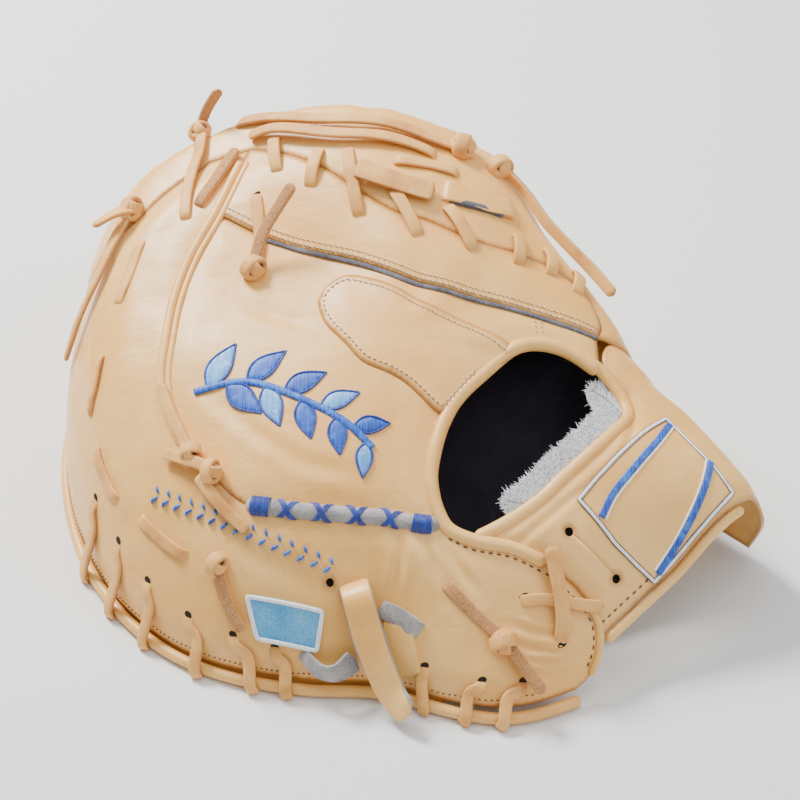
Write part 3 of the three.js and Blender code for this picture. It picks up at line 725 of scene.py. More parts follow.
def sweep(
    name: str, points: np.ndarray, ups: np.ndarray, section: np.ndarray,
    grow: np.ndarray | None = None, twist: np.ndarray | None = None, ring: bool = False,
) -> bpy.types.Object:
    """A closed body of one section swept along a line.

    Args:
        name: The piece's name.
        points: Points along the line.
        ups: The upward direction at each point.
        section: Corners across and up.
        grow: Size of the section at each point, as a share.
        twist: Turn of the section at each point, in radians.
        ring: Whether the line closes on itself.

    Returns:
        The piece.
    """
    count = len(points)
    sides = len(section)
    way = headings(points, ring)
    up = unit(ups - np.sum(ups * way, axis=1, keepdims=True) * way)
    side = np.cross(way, up)
    turn = np.zeros(count) if twist is None else twist
    size = np.ones(count) if grow is None else grow
    across = side * np.cos(turn)[:, None] + up * np.sin(turn)[:, None]
    over = up * np.cos(turn)[:, None] - side * np.sin(turn)[:, None]
    verts = (
        points[:, None] + across[:, None] * (section[None, :, :1] * size[:, None, None])
        + over[:, None] * (section[None, :, 1:] * size[:, None, None])
    ).reshape(-1, 3)
    piece = new_mesh(name, verts, tube_faces(count, sides, is_closed=ring))
    lengths = along(points)
    end = np.full(count, 2 * FAR_FROM_EDGE) if ring else np.minimum(lengths, lengths[-1] - lengths)
    set_attribute(piece, "top", np.tile(section[:, 1] > 0.3 * section[:, 1].max(), count))
    set_attribute(piece, "end", np.repeat(end, sides))
    return piece


def join(name: str, pieces: Sequence[bpy.types.Object]) -> bpy.types.Object:
    """Joins pieces into one object.

    Args:
        name: The joined piece's name.
        pieces: What is joined.

    Returns:
        The joined object.
    """
    bpy.ops.object.select_all(action="DESELECT")
    for piece in pieces:
        piece.select_set(True)
    bpy.context.view_layer.objects.active = pieces[0]
    if len(pieces) > 1:
        bpy.ops.object.join()
    pieces[0].name = name
    pieces[0].data.name = name
    return pieces[0]


@dataclass
class Fold:
    """A crease or wrinkle pressed into a panel along a line.

    Depth is positive inwards, and a ridge stands beside it.
    """

    places: Places
    depth: float
    width: float
    ridge: float = 0.35


@dataclass
class Panel:
    """One piece of leather laid over the form."""

    name: str
    outline: np.ndarray
    step: float = 2.2 * MM
    lift: float = 0.0
    thick: float = 2.0 * MM
    roll_off: float = 1.0 * MM
    roll_width: float = 2.2 * MM
    puff: float = 0.0
    puff_width: float = 14 * MM
    uneven: float = 0.35 * MM
    folds: Sequence[Fold] = ()
    holes: Sequence[tuple[Sequence[float], float]] = ()

    def spots(self, form: Form) -> tuple[np.ndarray, list[list[int]], np.ndarray, np.ndarray]:
        """Lays the panel out flat.

        Args:
            form: The form it lies on.

        Returns:
            Its flat places, its faces, each place's distance from the outline, and from any edge.
        """
        ring = even_steps(np.concatenate([self.outline, self.outline[:1]]), self.step * 0.8)[:-1]
        low, high = ring.min(axis=0), ring.max(axis=0)
        xs = np.arange(low[0], high[0], self.step)
        ys = np.arange(low[1], high[1], self.step * PANEL_ROW)
        grid = np.array([[x + (k % 2) * self.step / 2, y] for k, y in enumerate(ys) for x in xs])
        grid = grid[inside(grid, ring)]
        grid = grid[distance(grid, ring, True) > self.step * 0.55]
        spots = np.concatenate([ring, grid])
        holes = [(form.flat([place])[0], radius) for place, radius in self.holes]
        turns = np.arange(HOLE_SIDES) * 2 * math.pi / HOLE_SIDES
        edges = []
        for centre, radius in holes:
            spots = spots[np.linalg.norm(spots - centre, axis=1) > radius + self.step * 0.4]
            start = len(spots)
            circle = centre + radius * np.stack([np.cos(turns), np.sin(turns)], axis=1)
            spots = np.concatenate([spots, circle])
            edges += [(start + k, start + (k + 1) % HOLE_SIDES) for k in range(HOLE_SIDES)]
        found = delaunay_2d_cdt([Vector(spot) for spot in spots], edges, [list(range(len(ring)))], 1, 1e-7)
        flat = np.array([[v.x, v.y] for v in found[0]])
        faces = found[2]
        edge = outer = distance(flat, ring, True)
        for centre, radius in holes:
            faces = [f for f in faces if np.linalg.norm(flat[f].mean(axis=0) - centre) > radius * 0.96]
            edge = np.minimum(edge, np.abs(np.linalg.norm(flat - centre, axis=1) - radius))
        return flat, faces, outer, edge

    def build(
        self, form: Form,
        surface: Callable[[np.ndarray, np.ndarray], tuple[np.ndarray, np.ndarray]] | None = None,
    ) -> bpy.types.Object:
        """Builds the panel as a closed wall.

        Args:
            form: The form it lies on.
            surface: What turns flat places and lifts into points, or none for the form's back.

        Returns:
            The piece, with its distance from the edge in the attribute edge.
        """
        flat, faces, outer, edge = self.spots(form)
        rolled = smooth(edge, -self.roll_width * 0.4, self.roll_width)
        lift = self.lift - self.roll_off * (1 - np.sqrt(rolled))
        lift += self.puff * smooth(outer, 0, self.puff_width)
        for fold in self.folds:
            line = form.seam(fold.places)
            apart = distance(flat, line) / fold.width
            ends = [np.linalg.norm(flat - end, axis=1) for end in (line[0], line[-1])]
            fade = smooth(np.minimum(*ends), 0, 6 * fold.width)
            lift -= fold.depth * fade * (np.exp(-apart**2) - fold.ridge * np.exp(-((apart - 1.9) ** 2)))
        base, _ = form.on(flat)
        lift += self.uneven * ripple(base, 42 * MM) + 0.35 * self.uneven * ripple(base, 14 * MM, 5.0)
        piece = new_mesh(self.name, (surface or form.on)(flat, lift)[0], faces)
        set_attribute(piece, "edge", edge)
        layer = piece.data.uv_layers.new(name="Flat")
        corners = np.empty(len(piece.data.loops), np.int32)
        piece.data.loops.foreach_get("vertex_index", corners)
        layer.data.foreach_set("uv", flat[corners].ravel())
        if self.thick:
            apply_modifier(piece, "SOLIDIFY", thickness=self.thick, offset=-1.0, use_even_offset=False)
        return piece


class Socket:
    """A shader socket with arithmetic: an expression adds the maths nodes that it needs."""

    def __init__(self, tree: "Tree", output: bpy.types.NodeSocket) -> None:
        """Wraps an output socket of a tree."""
        self.tree = tree
        self.output = output

    def _math(self, operation: str, *values: object) -> "Socket":
        """One maths node over values and sockets."""
        return self.tree.node("ShaderNodeMath", {"operation": operation}, dict(enumerate(values)))[0]

    def __add__(self, other: object) -> "Socket":
        """Sum."""
        return self._math("ADD", self, other)

    def __sub__(self, other: object) -> "Socket":
        """Difference."""
        return self._math("SUBTRACT", self, other)

    def __rsub__(self, other: object) -> "Socket":
        """Difference from a number."""
        return self._math("SUBTRACT", other, self)

    def __mul__(self, other: object) -> "Socket":
        """Product."""
        return self._math("MULTIPLY", self, other)

    def ramp(self, low: float, high: float) -> "Socket":
        """A smooth step from 0 at low to 1 at high."""
        settings = {"interpolation_type": "SMOOTHSTEP"}
        return self.tree.node("ShaderNodeMapRange", settings, {0: self, 1: low, 2: high})[0]

    __radd__ = __add__
    __rmul__ = __mul__


class Tree:
    """A material's nodes, made by one method."""

    def __init__(self, name: str) -> None:
        """Starts an empty material of that name."""
        self.material = bpy.data.materials.new(name)
        self.material.use_nodes = True
        self.nodes = self.material.node_tree.nodes
        self.links = self.material.node_tree.links
        self.nodes.clear()

    def node(self, kind: str, settings: dict[str, object], inputs: dict[int | str, object]) -> list[Socket]:
        """Adds a node.

        Args:
            kind: The node's type.
            settings: Its properties, set first.
            inputs: Values or sockets for its inputs, by name or number.

        Returns:
            Its outputs.
        """
        made = self.nodes.new(kind)
        for key, value in settings.items():
            setattr(made, key, value)
        for key, value in inputs.items():
            self.feed(made.inputs[key], value)
        return [Socket(self, output) for output in made.outputs if output.enabled]

    def feed(self, socket: bpy.types.NodeSocket, value: object) -> None:
        """Gives an input a value, or links another node's socket to it."""
        if isinstance(value, Socket):
            self.links.new(value.output, socket)
        else:
            socket.default_value = value

    def attribute(self, name: str) -> Socket:
        """A number stored on the mesh."""
        made = self.nodes.new("ShaderNodeAttribute")
        made.attribute_name = name
        return Socket(self, made.outputs["Fac"])

    def place(self) -> Socket:
        """Object coordinates."""
        made = self.nodes.new("ShaderNodeTexCoord")
        return Socket(self, made.outputs["Object"])

    def noise(
        self, scale: float, detail: float = 3.0, rough: float = 0.55, at: Socket | None = None,
    ) -> Socket:
        """Noise from 0 to 1, with scale features for each metre of the coordinates at."""
        inputs = {"Vector": at or self.place(), "Scale": scale, "Detail": detail, "Roughness": rough}
        return self.node("ShaderNodeTexNoise", {}, inputs)[0]

    def cells(self, scale: float, feature: str) -> Socket:
        """Distance in a Voronoi pattern, with scale cells for each metre."""
        inputs = {"Vector": self.place(), "Scale": scale}
        return self.node("ShaderNodeTexVoronoi", {"feature": feature}, inputs)[0]

    def stretched(self, size: tuple[float, float, float], turn: float) -> Socket:
        """Object coordinates, stretched along each axis and turned about Z."""
        inputs = {"Vector": self.place(), "Rotation": (0, 0, turn), "Scale": size}
        return self.node("ShaderNodeMapping", {}, inputs)[0]

    def mix(self, part: object, low: object, high: object) -> Socket:
        """Mixes two colours.

        Args:
            part: Share of the second colour.
            low: First colour or socket.
            high: Second colour or socket.

        Returns:
            The mixed colour.
        """
        made = self.nodes.new("ShaderNodeMix")
        made.data_type = "RGBA"
        for key, value in (("Factor", part), ("A", low), ("B", high)):
            self.feed([socket for socket in made.inputs if socket.name == key and socket.enabled][0], value)
        return Socket(self, [socket for socket in made.outputs if socket.enabled][0])

    def bump(self, height: Socket, depth: float, over: Socket | None = None) -> Socket:
        """A normal from a height of 0 to 1, where 1 is as high as depth, over another normal or none."""
        normal = {} if over is None else {"Normal": over}
        inputs = {"Height": height, "Distance": depth, "Strength": 1.0, **normal}
        return self.node("ShaderNodeBump", {}, inputs)[0]

    def finish(
        self, color: object, rough: object, normal: Socket | None = None, **constants: float,
    ) -> bpy.types.Material:
        """Ends the tree in a principled shader.

        Args:
            color: Base colour or socket.
            rough: Roughness or socket.
            normal: The normal, or none.
            constants: Other shader inputs, with underscores for spaces.

        Returns:
            The material.
        """
        inputs = {"Base Color": color, "Roughness": rough, **({} if normal is None else {"Normal": normal})}
        inputs |= {key.replace("_", " "): value for key, value in constants.items()}
        shader = self.node("ShaderNodeBsdfPrincipled", {}, inputs)[0]
        self.node("ShaderNodeOutputMaterial", {}, {"Surface": shader})
        return self.material


Color = tuple[float, float, float, float]


def srgb(red: int, green: int, blue: int) -> Color:
    """A linear colour from its values on a screen, 0 to 255."""
    def linear(value: int) -> float:
        """One channel."""
        share = value / 255
        return share / 12.92 if share <= 0.04045 else ((share + 0.055) / 1.055) ** 2.4
    return linear(red), linear(green), linear(blue), 1.0


@dataclass(frozen=True)
class Leather:
    """Smooth waxed leather with fine pores and soft wrinkles, darker near seams and punched holes: partly
    seam grime, partly painted shade.
    """

    name: str = "camel_leather"
    base: Color = srgb(244, 183, 94)
    deep: Color = srgb(210, 138, 60)
    pale: Color = srgb(250, 201, 120)
    # Colour near seams and holes: partly seam grime, partly painted shade in the hollows.
    seam: Color = srgb(166, 102, 48)
    rough: float = 0.4

    def build(self) -> bpy.types.Material:
        """Builds the material."""
        tree = Tree(self.name)
        broad = tree.noise(13, 4, 0.6)
        fine = tree.noise(95, 5, 0.65)
        color = tree.mix(broad.ramp(0.38, 0.7), self.base, self.pale)
        color = tree.mix(fine.ramp(0.52, 0.8) * 0.35, color, self.deep)
        pores = tree.cells(1150, "DISTANCE_TO_EDGE")
        grain = tree.cells(620, "SMOOTH_F1")
        color = tree.mix((1 - pores.ramp(0.0, 0.16)) * 0.16, color, self.deep)
        creases = tree.noise(70, 6, 0.62, tree.stretched((0.4, 1.5, 1.0), 0.7))
        # Painted shade, partly grime: the leather darkens within 3.4 mm of every panel edge and punched
        # hole.
        near = 1 - tree.attribute("edge").ramp(0.0, 3.4 * MM)
        color = tree.mix(near * 0.55, color, self.seam)
        rough = self.rough + (fine - 0.5) * 0.16 + (broad - 0.5) * 0.1
        height = grain * 0.4 + pores.ramp(0.0, 0.3) * 0.35
        normal = tree.bump(height, 0.09 * MM, tree.bump(creases, 0.5 * MM))
        gloss = {"Coat_Weight": 0.2, "Coat_Roughness": 0.28, "Specular_IOR_Level": 0.45}
        return tree.finish(color, rough, normal, **gloss)


@dataclass(frozen=True)
class Lace:
    """Rawhide lace: a smooth face, and a suede back, edges and cut ends."""

    name: str = "rawhide_lace"
    face: Color = srgb(240, 182, 104)
    dark: Color = srgb(208, 142, 74)
    suede: Color = srgb(204, 150, 96)
    speck: Color = srgb(138, 92, 56)

    def build(self) -> bpy.types.Material:
        """Builds the material."""
        tree = Tree(self.name)
        broad = tree.noise(60, 4, 0.6)
        fibre = tree.noise(1500, 4, 0.7)
        streak = tree.noise(240, 5, 0.6, tree.stretched((1.0, 0.5, 0.8), 0.4))
        face = tree.mix(broad.ramp(0.35, 0.75), self.face, self.dark)
        suede = tree.mix(fibre.ramp(0.42, 0.7), self.suede, self.speck)
        top = tree.attribute("top").ramp(0.35, 0.8)
        cut = tree.attribute("end").ramp(0.0, 1.2 * MM)
        part = top * cut
        color = tree.mix(part, suede, face)
        rough = 0.9 - part * 0.34 + (streak - 0.5) * 0.14
        normal = tree.bump(fibre * (1.3 - part), 0.16 * MM, tree.bump(streak, 0.3 * MM))
        return tree.finish(color, rough, normal, Specular_IOR_Level=0.35)


@dataclass(frozen=True)
class Fibre:
    """Felt, fleece or napped lining: a soft, matt, fibrous cloth."""

    name: str
    base: Color
    other: Color
    scale: float = 1400
    depth: float = 0.35 * MM
    sheen: float = 0.3

    def build(self) -> bpy.types.Material:
        """Builds the material."""
        tree = Tree(self.name)
        fuzz = tree.noise(self.scale, 5, 0.75)
        broad = tree.noise(self.scale / 16, 3, 0.6)
        part = fuzz.ramp(0.3, 0.72) * 0.6 + broad.ramp(0.35, 0.7) * 0.4
        color = tree.mix(part, self.base, self.other)
        nap = {"Sheen_Weight": self.sheen, "Sheen_Roughness": 0.5, "Specular_IOR_Level": 0.2}
        return tree.finish(color, 0.93, tree.bump(fuzz, self.depth), **nap)


@dataclass(frozen=True)
class Thread:
    """Embroidery or winding thread: satin strands with a soft gloss."""

    name: str
    base: Color
    dark: Color
    light: Color
    strands: float = 1900
    turn: float = 0.7

    def build(self) -> bpy.types.Material:
        """Builds the material."""
        tree = Tree(self.name)
        lay = tree.stretched((self.strands, 60.0, 60.0), self.turn)
        strands = tree.node("ShaderNodeTexNoise", {}, {"Vector": lay, "Scale": 1.0, "Detail": 2.0})[0]
        broad = tree.noise(260, 3, 0.6)
        color = tree.mix(strands.ramp(0.35, 0.65), self.dark, self.base)
        color = tree.mix(broad.ramp(0.45, 0.75) * 0.7, color, self.light)
        normal = tree.bump(strands, 0.25 * MM)
        return tree.finish(color, 0.48, normal, Sheen_Weight=0.25, Specular_IOR_Level=0.5)


@dataclass(frozen=True)
class PaintedShade:
    """Painted shade: a dark, matt fill standing for the shade at the bottom of a punched hole or inside a
    slit.
    """

    name: str
    base: Color
    rough: float = 0.9

    def build(self) -> bpy.types.Material:
        """Builds the material."""
        tree = Tree(self.name)
        fine = tree.noise(700, 3, 0.6)
        color = tree.mix(fine, self.base, tuple(0.6 * c for c in self.base[:3]) + (1.0,))
        return tree.finish(color, self.rough, tree.bump(fine, 0.1 * MM))


class Finish(Enum):
    """The finishes of the mitt."""

    LEATHER = "camel leather"
    LACE = "rawhide lace"
    FELT = "grey felt"
    DARK_FELT = "dark felt edge"
    FLEECE = "white fleece"
    LINING = "black lining"
    BLUE = "blue thread"
    NAVY = "navy thread"
    SKY = "sky thread"
    WHITE = "white thread"
    CREAM = "cream stitching"
    BROWN = "brown stitching"
    PATCH = "patch cloth"
    # Painted shade inside punched holes and slits.
    DARK = "dark hole"


SLOTS = {
    Finish.LEATHER: "glove_leather", Finish.LACE: "lace_leather", Finish.FELT: "wool_felt",
    Finish.DARK_FELT: "wool_felt", Finish.FLEECE: "fleece", Finish.LINING: "lining",
    Finish.PATCH: "patch_cloth",
}
FIBRES = {
    Finish.FELT: Fibre("grey_felt", srgb(116, 112, 114), srgb(190, 186, 182), 1300),
    Finish.DARK_FELT: Fibre("dark_felt", srgb(60, 58, 66), srgb(136, 134, 142), 1500),
    Finish.FLEECE: Fibre("white_fleece", srgb(242, 243, 246), srgb(255, 255, 255), 1000, 0.4 * MM, 0.5),
    Finish.LINING: Fibre("black_lining", srgb(16, 14, 20), srgb(34, 30, 44), 1300, 0.25 * MM, 0.2),
    Finish.PATCH: Fibre("patch_cloth", srgb(40, 146, 210), srgb(140, 208, 240), 1100, 0.5 * MM, 0.2),
}
THREADS = {
    Finish.BLUE: ((24, 96, 206), (12, 56, 150), (64, 148, 236)),
    Finish.NAVY: ((22, 58, 166), (12, 34, 108), (48, 92, 204)),
    Finish.SKY: ((110, 180, 235), (70, 140, 210), (170, 215, 245)),
    Finish.WHITE: ((248, 248, 250), (222, 224, 230), (255, 255, 255)),
    Finish.CREAM: ((238, 228, 206), (206, 186, 152), (252, 248, 236)),
    Finish.BROWN: ((96, 62, 38), (58, 36, 22), (130, 90, 58)),
}


@dataclass(frozen=True)
class StitchRow:
    """A row of stitches beside a seam."""

    places: Places
    aside: float = 0.0
    lift: float = 0.2 * MM
    length: float = 2.8 * MM
    apart: float = 1.3 * MM
    thick: float = 0.8 * MM
    slant: float = 0.0


class Workshop:
    """The form and the finishes, shared by every sub-assembly."""

    def __init__(self, form: Form) -> None:
        """Makes the finishes once."""
        self.form = form
        recipes = {
            Finish.LEATHER: Leather(), Finish.LACE: Lace(), **FIBRES,
            # The painted shade of holes and slits.
            Finish.DARK: PaintedShade("dark_hole", srgb(34, 24, 18)),
        }
        for finish, colors in THREADS.items():
            recipes[finish] = Thread(f"{finish.name.lower()}_thread", *(srgb(*color) for color in colors))
        self.finishes = {finish: recipe.build() for finish, recipe in recipes.items()}
        self.leather = BVHTree.FromPolygons([], [])

    def settle(self, panels: Sequence[bpy.types.Object]) -> None:
        """Keeps the finished panels' faces, for what is sewn or punched on them."""
        verts: list[Vector] = []
        faces: list[list[int]] = []
        for panel in panels:
            start = len(verts)
            verts += [vertex.co.copy() for vertex in panel.data.vertices]
            faces += [[start + corner for corner in face.vertices] for face in panel.data.polygons]
        self.leather = BVHTree.FromPolygons(verts, faces)

    def over(self, flat: np.ndarray, lift: Values) -> tuple[np.ndarray, np.ndarray]:
        """Points over the panels as they lie, puffed and folded.

        Args:
            flat: Flat places.
            lift: Height over the leather.

        Returns:
            The points, and the form's normals there.
        """
        points, normals = self.form.on(flat)
        height = np.zeros(len(points))
        for k, (point, normal) in enumerate(zip(points, normals)):
            way = Vector(normal)
            above = Vector(point) + way * PROBE_START
            place, _, _, drop = self.leather.ray_cast(above, -way, PROBE_START + PROBE_PAST)
            height[k] = PROBE_START - drop if place else 0.0
        return points + normals * (height + lift)[:, None], normals

    def dress(self, piece: bpy.types.Object, finish: Finish, *nodes: str) -> bpy.types.Object:
        """Gives a piece its finish and its place in the model.

        Args:
            piece: The finished mesh. Leather with no edge of its own counts as far from one.
            finish: Its finish.
            nodes: The frame's nodes that it stands for.

        Returns:
            The piece.
        """
        if nodes:
            piece.name = f"{nodes[0]}_{finish.name.lower()}"
        if finish is Finish.LEATHER and "edge" not in piece.data.attributes:
            set_attribute(piece, "edge", np.full(len(piece.data.vertices), FAR_FROM_EDGE))
        piece.data.materials.clear()
        piece.data.materials.append(self.finishes[finish])
        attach(piece, "root")
        finish in SLOTS
        if nodes:
            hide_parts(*nodes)
        log.info("%s: %s, %d faces", piece.name, finish.value, len(piece.data.polygons))
        return piece

    def line(self, places: Places, lift: float, step: float = 1.2 * MM) -> tuple[np.ndarray, np.ndarray]:
        """Points and upward directions along a seam's [spoke angle, share] rows, at one height."""
        return self.form.on(self.form.seam(places, step), lift)

    def route(self, places: Places, step: float = 1.1 * MM) -> tuple[np.ndarray, np.ndarray]:
        """Points and upward directions along a lace, which dives where it meets the leather.

        Args:
            places: Rows of [spoke angle, share, layer].
            step: Length of one step.

        Returns:
            The points and the directions.
        """
        points, normals = self.form.skin([[a, s, ON_SKIN + layer * LAYER] for a, s, layer in places])
        stops = [points]
        for end, beside_it in ((0, 1), (-1, -2)):
            if places[end][2] <= 0.2:
                way = unit(points[end] - points[beside_it])
                dive = (points[end] + way * 1.6 * MM - normals[end] * (ON_SKIN + SUNK))[None]
                stops = [*stops, dive] if end else [dive, *stops]
        curve = even_steps(catmull(np.concatenate(stops), 10), step)
        return curve, self.form.outward(curve)

    def strip(
        self, name: str, places: Places, width: float, section: Section, is_suede: bool = False,
        turn: float = 0.0, taper: float = 1.0, tip: float = 0.9, seed: float = 0.0,
    ) -> bpy.types.Object:
        """A lace or strap laid along a route.

        Args:
            name: The piece's name.
            places: Rows of [spoke angle, share, layer].
            width: Its width.
            section: Shape of its section.
            is_suede: Whether the suede side is up.
            turn: How far it is set on its edge, in radians.
            taper: Its size at the start, as a share of that at its end.
            tip: Length of its rounded ends, as a share of its width.
            seed: Pattern of its unevenness.

        Returns:
            The piece.
        """
        points, ups = self.route(places)
        wave = ripple(points, 16 * MM, seed)
        grow = rounded(points, (1 + 0.07 * wave) * np.linspace(taper, 1.0, len(points)), width * tip)
        corners = section.corners(width, LACE_THICK)
        piece = sweep(name, points, ups, corners, grow, turn + 0.14 * ripple(points, 30 * MM, seed + 3))
        if is_suede:
            values = np.tile(corners[:, 1] < 0, len(points))
            piece.data.attributes["top"].data.foreach_set("value", values.astype(np.float32))
        return piece

    def knot(self, name: str, place: Sequence[float]) -> bpy.types.Object:
        """A lace pulled tight round itself.

        Args:
            name: The piece's name.
            place: Spoke angle, share, layer, size as a share of KNOT_SIZE, and twist.

        Returns:
            The piece.
        """
        angle, share, layer, size, twist = place
        points, normals = self.form.skin([[angle, share, ON_SKIN + layer * LAYER]])
        reach = size * KNOT_SIZE
        turn = np.array(Vector((0, 0, 1)).rotation_difference(Vector(normals[0])).to_matrix())
        rounds = np.arange(40) * 2 * math.pi / 40
        pieces = []
        for k, (lean, radius, shift, swing, width) in enumerate(KNOT_WRAPS):
            ring = np.stack([
                radius * np.cos(rounds), 0.8 * radius * np.sin(rounds) * math.cos(lean),
                0.8 * radius * np.sin(rounds) * math.sin(lean),
            ], axis=1) * reach
            axis = np.array([0, -math.sin(lean), math.cos(lean)]) * shift * reach
            turns = turn @ spun(twist) @ spun(swing)
            corners = Section.LACE.corners(width * reach, 0.24 * reach)
            placed = (turns @ (ring + axis).T).T + points[0]
            pieces.append(sweep(f"{name}_{k}", placed, (turns @ ring.T).T, corners, ring=True))
        return join(name, pieces)

    def stitches(self, name: str, rows: Sequence[StitchRow], seed: int = 7) -> bpy.types.Object:
        """Rows of raised stitches as one mesh.

        Args:
            name: The piece's name.
            rows: The rows.
            seed: Seed of their small unevenness.

        Returns:
            The piece.
        """
        chance = np.random.default_rng(seed)
        sides = np.arange(6) * math.pi / 3
        verts = []
        for row in rows:
            path = beside(self.form.seam(row.places, 0.6 * MM), row.aside)
            lengths = along(path)
            starts = np.arange(row.apart, lengths[-1] - row.length, row.length + row.apart)
            marks = starts[:, None] + np.linspace(0, row.length, len(STITCH_RISE))[None]
            flat = at(marks + chance.normal(0, STITCH_JITTER, len(starts))[:, None], lengths, path)
            if row.slant:
                middle = flat.mean(axis=1, keepdims=True)
                flat = (flat - middle) @ spun(row.slant)[:2, :2].T + middle
            rise = row.lift + row.thick * np.array(STITCH_RISE)
            points, ups = self.over(flat.reshape(-1, 2), np.tile(rise, len(starts)))
            points = points.reshape(-1, 5, 3)
            ups = ups.reshape(-1, 5, 3)
            across = np.cross(unit(np.gradient(points, axis=1)), ups)
            radius = row.thick / 2 * np.array(STITCH_SIZE)[None, :, None, None]
            ring = across[:, :, None] * np.cos(sides)[None, None, :, None]
            ring = ring + ups[:, :, None] * np.sin(sides)[None, None, :, None]
            verts.append((points[:, :, None] + ring * radius).reshape(-1, 3))
        everything = np.concatenate(verts)
        faces = [face for k in range(0, len(everything), 30) for face in tube_faces(5, 6, k)]
        return new_mesh(name, everything, faces)


# The rim runs of the outlines, in spoke angles
NEAR_RIM = (158, 303)
FAR_RIM = (14, 155)
ROLL_TOP = 6.6 * MM

NEAR_LOOPS = (
    (195, 0.955, 4), (205, 0.95, 4), (215, 0.95, 4), (226, 0.95, 5), (236, 0.95, 6),
    (244.5, 0.955, 4), (276, 0.945, -1), (286, 0.945, -4), (293, 0.95, -5),
)
FAR_LOOPS = (
    ((118, 0.745), (122, 0.62)), ((111, 0.65), (117, 0.54)), ((104, 0.64), (106, 0.42)),
    ((91, 0.5), (79, 0.36)), ((69, 0.49), (52, 0.47)), ((45, 0.7), (37, 0.635)),
    ((38, 0.8), (30, 0.735)), ((30, 0.86), (23, 0.79)),
)


